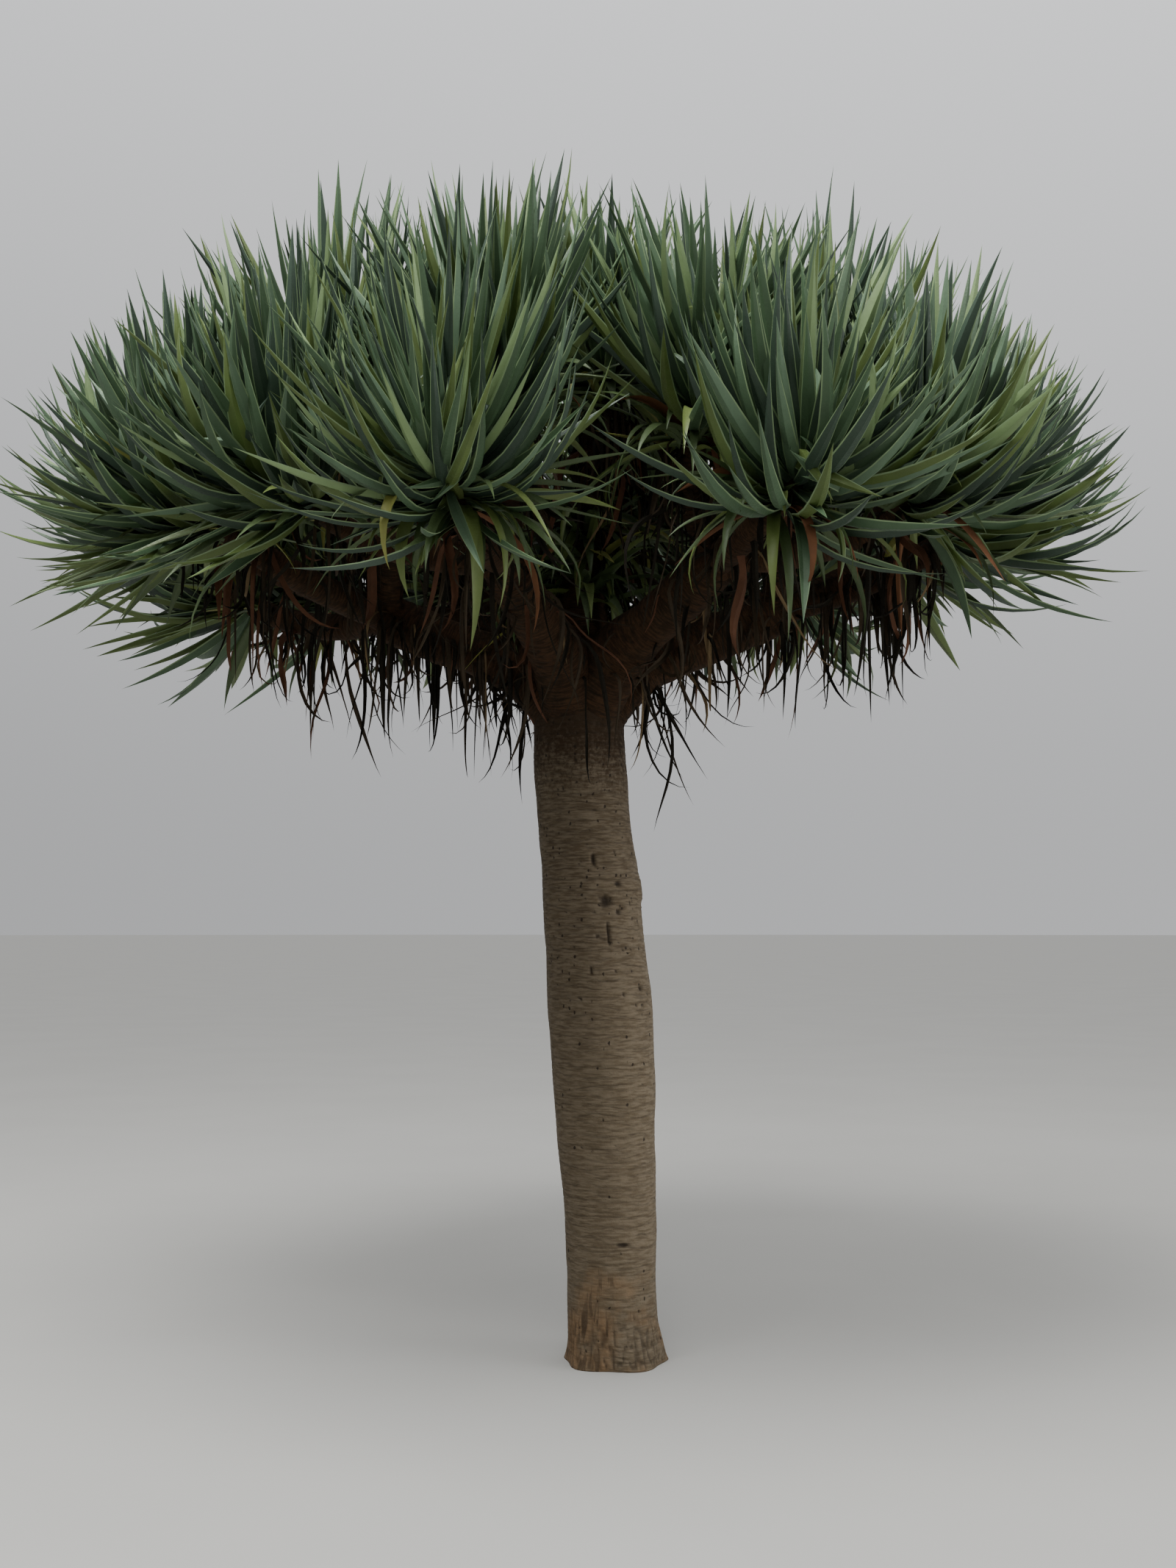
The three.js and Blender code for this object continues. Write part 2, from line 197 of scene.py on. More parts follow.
# Dead leaves caught along each bough: most of them are on the left.
DEAD_ON_BOUGHS = {
    "right": 10, "front_right": 8, "front_left": 26, "left": 64, "back_left": 56, "back_right": 26,
    # The many on the middle bough hang inside the crown and, dark as most of them are, also paint its shade.
    "middle": 110,
}
# Dead leaves caught along the limbs that carry more than the others, and a length that many of them reach.
DEAD_ON_LIMBS = {"outer_05": 60, "outer_12": 20, "outer_13": 20}
DEAD_ON_LIMBS_REACH = 0.38
# Distance of the dead leaves from the middle of a bough and of a limb.
DEAD_AWAY = {"bough": 0.086, "limb": 0.050}
# Dead leaves round the fork: the share on the right, and the middle and spread of each side in radians.
DEAD_AT_FORK = {
    "right": 0.4, "right_side": (-0.35, 0.35), "left_side": (3.0, 0.8), "right_length": (0.25, 0.62),
}

# Outline of a leaf: share of its length, and width as a share of the widest.
LEAF_OUTLINE = np.array(
    [[0, 0.66], [0.1, 0.72], [0.2, 0.88], [0.3333, 1], [0.45, 0.985], [0.5667, 0.9], [0.6833, 0.73],
     [0.8, 0.48], [0.9, 0.23], [0.9667, 0.075], [1, 0]]
)
OLD_OUTLINE = np.array(
    [[0, 0.7], [0.1, 0.8], [0.2, 0.93], [0.3, 1], [0.3667, 1], [0.4333, 0.98], [0.5, 0.93], [0.5667, 0.86],
     [0.65, 0.74], [0.75, 0.54], [0.85, 0.32], [0.95, 0.1], [1, 0]]
)
DEAD_OUTLINE = np.array(
    [[0, 1.3], [0.0833, 1], [0.1667, 0.95], [0.25, 1], [0.3333, 1], [0.4333, 1], [0.5333, 0.93],
     [0.6333, 0.8], [0.7333, 0.65], [0.8333, 0.43], [0.9167, 0.22], [1, 0]]
)
DEAD_SECTION = [(1, 1, 0), (0, 0, 0), (-1, 1, 0), (0, 0, 1)]
OWN_TINT = -1
FINE_STEPS = 60
FINE = np.linspace(0, 1, FINE_STEPS + 1)

# Materials of the leaves: name, the setting that holds the colour, roughness and change in lightness.
LIVING_SKINS = [
    # Painted shade: a darker copy of the leaves' green.
    ("leaf_deep", "deep", 0.54, 0.10),
    ("leaf_green", "green", 0.54, 0.10),
    ("leaf_glaucous", "glaucous", 0.58, 0.08),
    # Pale leaves: partly a paler leaf colour, partly painted light.
    ("leaf_pale", "pale", 0.60, 0.08),
    ("leaf_olive", "olive", 0.52, 0.10),
    # Pale margins that also paint the highlight where the leaves' edges catch the light.
    ("leaf_margin", "edge", 0.55, 0.05),
]
OLD_SKINS = [
    ("leaf_drooping", "olive", 0.52, 0.12),
    ("leaf_yellowing", "green", 0.52, 0.12),
    ("leaf_yellow", "yellow", 0.55, 0.12),
    ("leaf_rust", "rust", 0.7, 0.18),
]
DEAD_SKINS = [
    ("dead_rust", "rust", 0.75, 0.25),
    ("dead_tan", "tan", 0.78, 0.2),
    ("dead_brown", "brown", 0.8, 0.25),
    # Dark dead leaves, partly painted shade inside the crown.
    ("dead_dark", "dark", 0.85, 0.25),
]
# Specular level of waxy and of dry leaves, and the roughness from which a leaf is dry.
WAXY = 0.38
DRY = 0.12
DRY_FROM = 0.65

# Ring scars of the trunk, two sets that take turns, and of the boughs: their spacing and half width.
TRUNK_SCARS = ((0.027, 0.0045), (0.041, 0.004))
BOUGH_SCARS = (0.033, 0.008)
# The relief of the bark starts this far above the ground cut, and the flare has this many lobes.
ABOVE_CUT = 0.012
FLARE_LOBES = 5
# Pits are thinly strewn on the lower trunk and thickly above: how strong a speckle has to be.
PIT_LIMITS = {"low": 1.06, "high": 0.86, "heights": (0.7, 1.8)}
# Length along the wood of the patterns on one limb, so that each limb shows another part of them.
PATTERN_STEP = 7.3
# A slanted direction, level with no limb, from which places round a limb are counted.
SLANTED = np.array([0.31, 0.83, 0.46])
# Points that are placed on the limbs at a time, so that the tables stay small.
BATCH = 4000

# Marks on the trunk: degrees round from the photographed front towards +X, height, half width, half
# height and depth of each. A negative depth stands out.
TRUNK_MARKS = [
    (6, 1.740, 0.008, 0.026, 0.010),
    (16, 1.477, 0.007, 0.050, 0.010),
    (16, 1.594, 0.026, 0.024, 0.012),
    (30, 1.556, 0.013, 0.012, 0.007),
    (33, 1.655, 0.020, 0.011, 0.006),
    (-7, 1.355, 0.008, 0.018, 0.008),
    (52, 1.290, 0.012, 0.013, 0.009),
    (84, 1.640, 0.060, 0.055, -0.008),
    (14, 0.420, 0.024, 0.009, 0.006),
    (140, 1.300, 0.022, 0.024, 0.010),
    (205, 1.720, 0.009, 0.045, 0.010),
    (250, 0.980, 0.020, 0.018, 0.008),
]


def colour(*shown):
    """Linear colour for one given as it looks on a screen, 0 to 255."""
    shares = [value / 255 for value in shown]
    return tuple(c / 12.92 if c <= 0.04045 else ((c + 0.055) / 1.055) ** 2.4 for c in shares)


def number_property(name, description, default, **options):
    return bpy.props.FloatProperty(name=name, description=description, default=default, **options)


def length_property(name, description, default):
    return number_property(name, description, default, min=0, unit="LENGTH")


def angle_property(name, description, degrees):
    return number_property(name, description, math.radians(degrees), unit="ROTATION")


def share_property(name, description, default):
    return number_property(name, description, default, min=0, max=1, subtype="FACTOR")


def power_property(name, description, default):
    return number_property(name, description, default, min=0, unit="POWER")


def count_property(name, description, default):
    return bpy.props.IntProperty(name=name, description=description, default=default, min=1)


def colour_property(name, description, *shown):
    return bpy.props.FloatVectorProperty(
        name=name, description=description, default=colour(*shown), size=3, min=0, max=1, subtype="COLOR"
    )


class TrunkSettings(bpy.types.PropertyGroup):
    sides: count_property("Sides", "Sides of the trunk before it is smoothed", 40)
    rings: count_property("Rings", "Rings of the trunk before it is smoothed", 138)
    flare: length_property("Flare", "How far the roots' shoulders stand out at the ground", 0.012)
    flare_height: length_property("Flare height", "Height at which the flare has died away", 0.150)
    lump: length_property("Lump", "Height of the trunk's broad swellings", 0.006)
    scar: length_property("Scar", "Depth of the ring scars", 0.0013)
    pit: length_property("Pit", "Depth of the small dark pits", 0.0035)
    fissure: length_property("Fissure", "Depth of the upright fissures at the foot", 0.005)
    low: colour_property("Low bark", "Grey bark of the lower trunk", 77, 67, 52)
    high: colour_property("High bark", "Brown bark under the crown", 67, 57, 43)
    foot: colour_property("Foot", "Earth-stained bark at the ground", 106, 84, 60)
    # Crotch: the boughs' dark bark carried down the trunk under the fork, darkened also as painted shade
    # where the crown shades the trunk's top.
    crotch: colour_property("Crotch", "Dark bark just under the fork", 44, 32, 20)
    pale: colour_property("Pale flecks", "Lichen-grey flecks", 150, 139, 120)
    # The pits colour is the dark inside of pits and cracks, and also the painted shade of the carved
    # recesses.
    pitted: colour_property("Pits", "Dark inside pits and cracks", 30, 24, 18)


class BoughSettings(bpy.types.PropertyGroup):
    root_radius: length_property("Root radius", "Radius where a bough leaves the trunk", 0.106)
    waist_radius: length_property("Waist radius", "Radius at the bough's narrowest", 0.086)
    tip_radius: length_property("Tip radius", "Radius of the knuckle where the limbs start", 0.086)
    limb_root: length_property("Limb root", "Radius of a limb at its root", 0.056)
    limb_tip: length_property("Limb tip", "Radius of a limb under its rosette", 0.044)
    voxel: length_property("Voxel", "Size of the mesh that joins a bough to its limbs", 0.0068)
    lump: length_property("Lump", "Height of the boughs' swellings", 0.0045)
    scar: length_property("Scar", "Depth of the broad ring scars", 0.0022)
    # Rust and grey are the boughs' bark colours, darkened as painted shade, since the boughs sit in the
    # shade of the crown.
    rust: colour_property("Rust", "Red-brown bark of the boughs", 42, 27, 13)
    grey: colour_property("Grey", "Grey-brown bark of the boughs", 33, 26, 15)
    worn: colour_property("Worn", "Lighter brown rings between the scars", 78, 54, 34)
    # Dark: the colour inside scars and cracks, and also the painted shade of the carved recesses.
    dark: colour_property("Dark", "Dark inside scars and cracks", 13, 11, 8)


class LeafSettings(bpy.types.PropertyGroup):
    outer: count_property("Outer leaves", "Leaves of each outer rosette", 190)
    inner: count_property("Inner leaves", "Leaves of each inner rosette", 190)
    top: count_property("Top leaves", "Leaves of each top rosette", 200)
    length: length_property("Length", "Length of a full-grown leaf", 0.690)
    width: length_property("Width", "Width of a full-grown leaf", 0.056)
    thickness: length_property("Thickness", "Thickness of a leaf at its keel", 0.0045)
    channel: share_property("Channel", "Depth of the channel as a share of the half width", 0.50)
    margin: share_property("Margin", "Width of the pale margin as a share of the half width", 0.12)
    # Deep: painted shade, a darker copy of the leaves' green for leaves that stand in shade.
    deep: colour_property("Deep", "Shaded blue-green leaves", 41, 58, 44)
    green: colour_property("Green", "Middle green leaves", 58, 80, 54)
    glaucous: colour_property("Glaucous", "Blue-grey leaves with their bloom", 80, 102, 78)
    # Pale: partly a paler leaf colour, partly a painted lit copy of the green.
    pale: colour_property("Pale", "Pale grey-green leaves", 110, 132, 88)
    olive: colour_property("Olive", "Older olive leaves", 74, 90, 42)
    # The margin colour is a pale margin and also a painted highlight on the leaves' edges.
    edge: colour_property("Margin colour", "Thin pale margins", 106, 126, 90)


class OldLeafSettings(bpy.types.PropertyGroup):
    count: count_property("Old leaves", "Yellowing leaves under each rosette", 30)
    length: length_property("Length", "Length of a yellowing leaf", 0.440)
    width: length_property("Width", "Width of a yellowing leaf", 0.042)
    arch: angle_property("Arch", "How far a yellowing leaf arches down", 62)
    olive: colour_property("Olive", "Drooping leaves that are still green", 60, 76, 42)
    green: colour_property("Green", "Leaves that start to yellow", 86, 100, 50)
    yellow: colour_property("Yellow", "Yellow leaves", 118, 120, 58)
    rust: colour_property("Rust", "Leaves that have just died", 92, 61, 40)


class DeadLeafSettings(bpy.types.PropertyGroup):
    outer: count_property("Outer", "Dead leaves under each outer rosette", 12)
    # Many dead leaves under the inner and top rosettes, most of them dark, also stand in for the shade
    # inside the crown.
    inner: count_property("Inner", "Dead leaves under each inner and top rosette", 56)
    straps: count_property("Straps", "Broad rust-coloured leaves among those under each rosette", 2)
    limb: count_property("Limb", "Dead leaves caught along each limb", 7)
    knuckle: count_property("Knuckle", "Dead leaves that hang from the end of each bough", 16)
    fork: count_property("Fork", "Dead leaves lodged round the fork", 56)
    shortest: length_property("Shortest", "Shortest dead leaf", 0.16)
    longest: length_property("Longest", "Longest dead leaf", 0.58)
    width: length_property("Width", "Width of a rolled dead leaf", 0.018)
    rust: colour_property("Rust", "Orange-brown dead leaves", 76, 50, 35)
    tan: colour_property("Tan", "Bleached dead leaves", 98, 82, 58)
    brown: colour_property("Brown", "Grey-brown dead leaves", 48, 40, 29)
    # Dark dead leaves: the colour of old dead leaves, and painted shade inside the crown, where most of them
    # hang.
    dark: colour_property("Dark", "Old rotting leaves", 24, 21, 14)


class StageSettings(bpy.types.PropertyGroup):
    eye: bpy.props.FloatVectorProperty(
        name="Eye", description="Place of the camera", default=(-0.092, -6.150, 1.508), size=3,
        subtype="TRANSLATION",
    )
    pitch: angle_property("Pitch", "How far the camera looks up", 4.72)
    lens: number_property("Lens", "Focal length in mm on a 36 mm long side", 39.53)
    floor: colour_property("Floor", "Plain pale floor", 156, 155, 151)
    sky: colour_property("Sky", "Plain pale surroundings", 243, 244, 246)
    low_light: number_property("Low light", "Light of the surroundings at the horizon", 0.66)
    high_light: number_property("High light", "Light of the surroundings overhead", 1.9)
    left_light: share_property("Left light", "Light on the left, as a share of that on the right", 0.72)
    key_power: power_property("Key power", "Power of the large light above", 1550)
    side_power: power_property("Side power", "Power of the light on the right", 400)
    trunk_power: power_property("Trunk power", "Power of the spot on the trunk", 900)


# Vectors and random numbers

def unit(vectors):
    return vectors / np.linalg.norm(vectors, axis=-1, keepdims=True)


def dot(first, second):
    return (first * second).sum(-1, keepdims=True)


def lerp(start, end, share):
    return start + (end - start) * share


def smooth_step(low, high, values):
    share = np.clip((values - low) / (high - low), 0, 1)
    return share * share * (3 - 2 * share)


def random_from(seed):
    """Seeded random numbers from 0 to 1, the same as the solids were planned with."""
    word = 0xFFFFFFFF
    state = seed

    def draw():
        nonlocal state
        state = (state + 0x6D2B79F5) & word
        mixed = ((state ^ (state >> 15)) * (1 | state)) & word
        mixed = ((mixed + (mixed ^ (mixed >> 7)) * (61 | mixed)) & word) ^ mixed
        return (mixed ^ (mixed >> 14)) / 2**32

    return draw


NOISE_PRIMES = np.array([374761393, 668265263, 2246822519, 3266489917])


def noise(points, size, seed=0):
    """Smooth random values from -1 to 1 at points, with lumps about size metres across."""
    cells = points / size
    corner = np.floor(cells).astype(np.int64)
    share = cells - corner
    share = share * share * (3 - 2 * share)
    total = np.zeros(len(points))
    for offset in itertools.product((0, 1), repeat=3):
        index = corner + offset
        mixed = (index * NOISE_PRIMES[:3]).sum(1) + seed * NOISE_PRIMES[3]
        mixed = (mixed ^ (mixed >> 13)) * 1274126177 & 0xFFFFFFFF
        value = (mixed ^ (mixed >> 16)) / 0x7FFFFFFF - 1
        weight = np.where(offset, share, 1 - share).prod(-1)
        total += weight * value
    return total


def square_to(direction):
    helper = np.array([1.0, 0.0, 0.0]) if abs(direction[2]) > 0.9 else UP
    return unit(np.cross(helper, direction))


def around(axis, degrees, reach, height):
    """The point at a compass angle and a distance from an upright axis, at a height."""
    turn = math.radians(degrees)
    return np.array([axis[0] + reach * math.cos(turn), axis[1] + reach * math.sin(turn), height])


# Plan of the tree

@dataclass
class Bough:
    name: str
    elbow: np.ndarray
    tip: np.ndarray


@dataclass
class Rosette:
    name: str
    ring: str
    heart: np.ndarray
    axis: np.ndarray
    foot: np.ndarray
    bough: Bough
    phase: float


def plan_bough(name, degrees, reach, height):
    tip = around(FORK, degrees, reach, height)
    elbow = lerp(FORK, tip, ELBOW["share"]) - UP * ELBOW["sag"] * reach
    return Bough(name, elbow, tip)


def plan_rosette(ring, number, place, ring_tilt, boughs, draw):
    """One rosette by the rule of the solids, tested against its own solid in the frame."""
    degrees, ring_reach, ring_height = place

    def wander(size):
        return size * (2 * draw() - 1)

    turned = degrees + wander(JITTER["angle"])
    reach = ring_reach + wander(JITTER["reach"])
    height = ring_height + wander(JITTER["height"])
    tilt = math.radians(ring_tilt + wander(JITTER["tilt"]))
    heart = around(CROWN_AXIS, turned, reach, height)
    outward = around(np.zeros(3), turned, 1, 0)
    axis = outward * math.cos(tilt) + UP * math.sin(tilt)
    carriers = boughs[-1:] if ring == "top" else boughs[:-1]
    bough = min(carriers, key=lambda other: np.linalg.norm(other.tip - heart))
    name = f"{ring}_{number:02d}"
    low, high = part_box(f"foliage_{name}")
    if any(not low[i] < heart[i] < high[i] for i in range(3)):
        raise ValueError(f"the heart of {name} is outside its solid")
    return Rosette(name, ring, heart, axis, heart - HEART_CENTRE * axis, bough, 2 * math.pi * draw())


def plan_tree():
    boughs = [plan_bough(name, *place) for name, place in BOUGHS.items()]
    draw = random_from(SEED)
    rosettes = [
        plan_rosette(ring, number, place, tilt, boughs, draw)
        for ring, (places, tilt) in RINGS.items()
        for number, place in enumerate(places, 1)
    ]
    return boughs, rosettes


# Making pieces

def deselect():
    if bpy.context.object and bpy.context.object.mode != "OBJECT":
        bpy.ops.object.mode_set(mode="OBJECT")
    bpy.ops.object.select_all(action="DESELECT")


def apply_modifier(piece, kind, **settings):
    modifier = piece.modifiers.new(kind.title(), kind)
    for key, value in settings.items():
        setattr(modifier, key, value)
    bpy.context.view_layer.objects.active = piece
    bpy.ops.object.modifier_apply(modifier=modifier.name)


def finish_piece(piece, name, nodes, materials):
    """Names the piece, puts its place in its mesh, gives it its materials and ties it to the solids."""
    deselect()
    piece.select_set(True)
    bpy.context.view_layer.objects.active = piece
    bpy.ops.object.transform_apply(location=True, rotation=True, scale=True)
    piece.name = name
    piece.data.name = name
    if not piece.data.materials:
        for material in materials:
            piece.data.materials.append(material)
    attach(piece, "root")
    if nodes:
        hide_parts(*nodes)


def vectors_of(rows, key):
    """The vectors of a mesh's vertices or vertex normals, one to a row."""
    flat = np.empty(len(rows) * 3, np.float32)
    rows.foreach_get(key, flat)
    return flat.reshape(-1, 3).astype(float)


def move_points(mesh, points):
    mesh.vertices.foreach_set("co", points.astype(np.float32).ravel())
    mesh.update()


def store(mesh, name, kind, key, values):
    attribute = mesh.attributes.new(name, kind, "POINT")
    attribute.data.foreach_set(key, values.astype(np.float32).ravel())


# Node groups and materials

def new_group(name, numbers, outputs):
    """A shader node group with a vector, named numbers and float outputs. Returns it with its sockets."""
    group = bpy.data.node_groups.new(name, "ShaderNodeTree")
    group.interface.new_socket("Vector", in_out="INPUT", socket_type="NodeSocketVector")
    for socket, default in numbers.items():
        made = group.interface.new_socket(socket, in_out="INPUT", socket_type="NodeSocketFloat")
        made.default_value = default
    for socket in outputs:
        group.interface.new_socket(socket, in_out="OUTPUT", socket_type="NodeSocketFloat")
    return group, group.nodes.new("NodeGroupInput").outputs, group.nodes.new("NodeGroupOutput").inputs


def feed(tree, socket, value):
    """Links the value to the socket if it comes from a node, and otherwise sets it there."""
    if isinstance(value, bpy.types.NodeSocket):
        tree.links.new(value, socket)
    else:
        socket.default_value = value


def add_math(tree, operation, *values):
    """A Math node. Each value is a socket or a number."""
    node = tree.nodes.new("ShaderNodeMath")
    node.operation = operation
    for socket, value in zip(node.inputs, values):
        feed(tree, socket, value)
    return node.outputs[0]


def add_range(tree, value, low, high, start=0.0, end=1.0):
    """A smooth Map Range node, from low and high to start and end."""
    node = tree.nodes.new("ShaderNodeMapRange")
    node.interpolation_type = "SMOOTHSTEP"
    names = ("Value", "From Min", "From Max", "To Min", "To Max")
    for name, number in zip(names, (value, low, high, start, end)):
        feed(tree, node.inputs[name], number)
    return node.outputs[0]


def add_noise(tree, vector, scale=1.0, detail=3.0, roughness=0.55):
    node = tree.nodes.new("ShaderNodeTexNoise")
    for name, value in zip(("Vector", "Scale", "Detail", "Roughness"), (vector, scale, detail, roughness)):
        feed(tree, node.inputs[name], value)
    return node.outputs["Fac"]


def add_squash(tree, vector, across, along):
    """Scales a pattern's coordinates, across and along the wood."""
    node = tree.nodes.new("ShaderNodeMapping")
    node.inputs["Scale"].default_value = (across, across, along)
    tree.links.new(vector, node.inputs["Vector"])
    return node.outputs[0]


def add_streaks(tree, vector, across, along, low, high):
    """Soft streaks: noise scaled across and along the wood, cut between a low and a high value."""
    return add_range(tree, add_noise(tree, add_squash(tree, vector, across, along)), low, high)


def add_split(tree, vector):
    node = tree.nodes.new("ShaderNodeSeparateXYZ")
    tree.links.new(vector, node.inputs[0])
    return node.outputs


def add_mix(tree, factor, first, second):
    """A Mix Color node. Each colour is a socket or a linear colour."""
    node = tree.nodes.new("ShaderNodeMix")
    node.data_type = "RGBA"
    feed(tree, node.inputs[0], factor)
    for socket, value in ((node.inputs[6], first), (node.inputs[7], second)):
        feed(tree, socket, value if isinstance(value, bpy.types.NodeSocket) else (*value, 1))
    return node.outputs[2]


def add_strongest(tree, *masks):
    """The strongest of several masks, each with the share that it is given."""
    strongest, *others = [add_math(tree, "MULTIPLY", mask, share) for mask, share in masks]
    for other in others:
        strongest = add_math(tree, "MAXIMUM", strongest, other)
    return strongest


def add_bump(tree, height, distance, strength):
    node = tree.nodes.new("ShaderNodeBump")
    node.inputs["Distance"].default_value = distance
    node.inputs["Strength"].default_value = strength
    tree.links.new(height, node.inputs["Height"])
    return node.outputs["Normal"]


def ring_scar_group():
    """Fine scars round the wood at a spacing, wavering and broken, as fallen leaves leave them."""
    group, given, made = new_group("ring_scars", {"Spacing": 0.01, "Waver": 0.01}, ["Mask"])
    place = given["Vector"]
    drift = add_noise(group, add_squash(group, place, 7, 14), detail=2)
    along = add_math(group, "MULTIPLY_ADD", drift, given["Waver"], add_split(group, place)["Z"])
    wave = add_math(group, "PINGPONG", add_math(group, "DIVIDE", along, given["Spacing"]), 0.5)
    line = add_range(group, wave, 0.0, 0.16, 1.0, 0.0)
    broken = add_streaks(group, place, 14, 60, 0.38, 0.58)
    group.links.new(add_math(group, "MULTIPLY", line, broken), made["Mask"])
    return group


def pit_group():
    """Small dark pits scattered over the bark, each an irregular fleck."""
    group, given, made = new_group("pits", {"Scale": 60, "Amount": 0.5}, ["Mask"])
    cells = group.nodes.new("ShaderNodeTexVoronoi")
    group.links.new(given["Vector"], cells.inputs["Vector"])
    group.links.new(given["Scale"], cells.inputs["Scale"])
    ragged = add_noise(group, given["Vector"], add_math(group, "MULTIPLY", given["Scale"], 2.2), detail=2)
    reach = add_math(group, "MULTIPLY_ADD", ragged, 0.55, cells.outputs["Distance"])
    split = group.nodes.new("ShaderNodeSeparateColor")
    group.links.new(cells.outputs["Color"], split.inputs[0])
    chosen = add_math(group, "LESS_THAN", split.outputs[0], given["Amount"])
    fleck = add_range(group, reach, 0.42, 0.56, 1.0, 0.0)
    group.links.new(add_math(group, "MULTIPLY", fleck, chosen), made["Mask"])
    return group


def mottle_group():
    """Broad and fine patches: two sizes of soft noise, each a value of its own."""
    group, given, made = new_group("mottle", {"Scale": 4}, ["Broad", "Fine"])
    broad = add_noise(group, given["Vector"], given["Scale"])
    group.links.new(add_range(group, broad, 0.3, 0.7), made["Broad"])
    finer = add_math(group, "MULTIPLY", given["Scale"], 14)
    fine = add_noise(group, given["Vector"], finer, detail=4, roughness=0.65)
    group.links.new(add_range(group, fine, 0.32, 0.68), made["Fine"])
    return group


def add_group(tree, name, vector, **values):
    """A node of the group of this name, which is made when it is first asked for."""
    makers = {"ring_scars": ring_scar_group, "pits": pit_group, "mottle": mottle_group}
    node = tree.nodes.new("ShaderNodeGroup")
    node.node_tree = bpy.data.node_groups.get(name) or makers[name]()
    tree.links.new(vector, node.inputs["Vector"])
    for key, value in values.items():
        feed(tree, node.inputs[key.title()], value)
    return node.outputs


def new_material(name, roughness, gloss=0.15):
    material = bpy.data.materials.new(name)
    material.use_nodes = True
    shader = material.node_tree.nodes["Principled BSDF"]
    shader.inputs["Roughness"].default_value = roughness
    shader.inputs["Specular IOR Level"].default_value = gloss
    return material, material.node_tree, shader.inputs


def object_place(tree):
    return tree.nodes.new("ShaderNodeTexCoord").outputs["Object"]


def attribute_socket(tree, name, output):
    node = tree.nodes.new("ShaderNodeAttribute")
    node.attribute_name = name
    return node.outputs[output]


def trunk_material(trunk):
    """Speckled bark: grey with ring scars below, browner under the crown, stained at the foot. Painted shade
    darkens the carved recesses, and the dark bark just under the fork is partly painted shade.
    """
    material, tree, shader = new_material("trunk_bark", 0.9)
    place = object_place(tree)
    height = add_split(tree, place)["Z"]
    mottle = add_group(tree, "mottle", place, scale=4.5)
    scars = add_group(tree, "ring_scars", place, spacing=0.0095, waver=0.030)["Mask"]
    strong = add_group(tree, "ring_scars", place, spacing=0.034, waver=0.060)["Mask"]
    more_above = add_range(tree, height, 0.7, 1.9, 0.08, 0.42)
    pits = add_group(tree, "pits", add_squash(tree, place, 1.0, 0.75), scale=50, amount=more_above)["Mask"]
    specks = add_group(tree, "pits", place, scale=150, amount=0.22)["Mask"]
    streaked = add_streaks(tree, place, 22, 130, 0.35, 0.65)
    cracked = add_streaks(tree, place, 46, 7, 0.50, 0.60)

    drifted = add_math(tree, "MULTIPLY_ADD", mottle["Broad"], 0.5, height)
    stained = add_range(tree, drifted, 0.15, 0.5, 0.75, 0.0)
    risen = add_math(tree, "MULTIPLY_ADD", mottle["Fine"], 0.16, height)
    base = add_mix(tree, add_range(tree, drifted, 1.25, 2.25), trunk.low, trunk.high)
    base = add_mix(tree, add_math(tree, "MULTIPLY", streaked, 0.17), base, trunk.pale)
    base = add_mix(tree, stained, base, trunk.foot)
    # Painted shade under the fork: the trunk's top takes the dark crotch colour.
    base = add_mix(tree, add_range(tree, risen, 2.04, 2.28, 0.0, 0.92), base, trunk.crotch)
    # Painted shade of the carved recesses, stored on the mesh.
    hollow = attribute_socket(tree, "hollow", "Fac")
    shade = add_strongest(
        tree, (scars, 0.30), (strong, 0.42), (pits, 0.9), (specks, 0.35), (cracked, stained), (hollow, 1)
    )
    tree.links.new(add_mix(tree, shade, base, trunk.pitted), shader["Base Color"])
    tree.links.new(add_range(tree, mottle["Fine"], 0.0, 1.0, 0.82, 0.97), shader["Roughness"])
    relief = add_math(tree, "SUBTRACT", mottle["Fine"], add_math(tree, "MULTIPLY", shade, 1.6))
    tree.links.new(add_bump(tree, relief, 0.0015, 0.55), shader["Normal"])
    return material


def bough_material(bough):
    """Red-brown to grey bark with close ring scars that follow each limb, darkened all over as painted shade
    under the crown and most of all in the scars and cracks.
    """
    material, tree, shader = new_material("bough_bark", 0.9)
    place = attribute_socket(tree, "along_limb", "Vector")
    mottle = add_group(tree, "mottle", place, scale=6)
    scars = add_group(tree, "ring_scars", place, spacing=0.0085, waver=0.020)["Mask"]
    pits = add_group(tree, "pits", place, scale=80, amount=0.35)["Mask"]
    streaked = add_streaks(tree, place, 24, 130, 0.35, 0.65)
    base = add_mix(tree, mottle["Broad"], bough.rust, bough.grey)
    base = add_mix(tree, add_math(tree, "MULTIPLY", streaked, 0.45), base, bough.worn)
    # Painted shade of the carved recesses, stored on the mesh.
    hollow = attribute_socket(tree, "hollow", "Fac")
    shade = add_strongest(tree, (scars, 0.85), (pits, 0.7), (hollow, 1), (mottle["Fine"], 0.35))
    tree.links.new(add_mix(tree, shade, base, bough.dark), shader["Base Color"])
    tree.links.new(add_bump(tree, add_math(tree, "SUBTRACT", 1.0, shade), 0.002, 0.8), shader["Normal"])
    return material


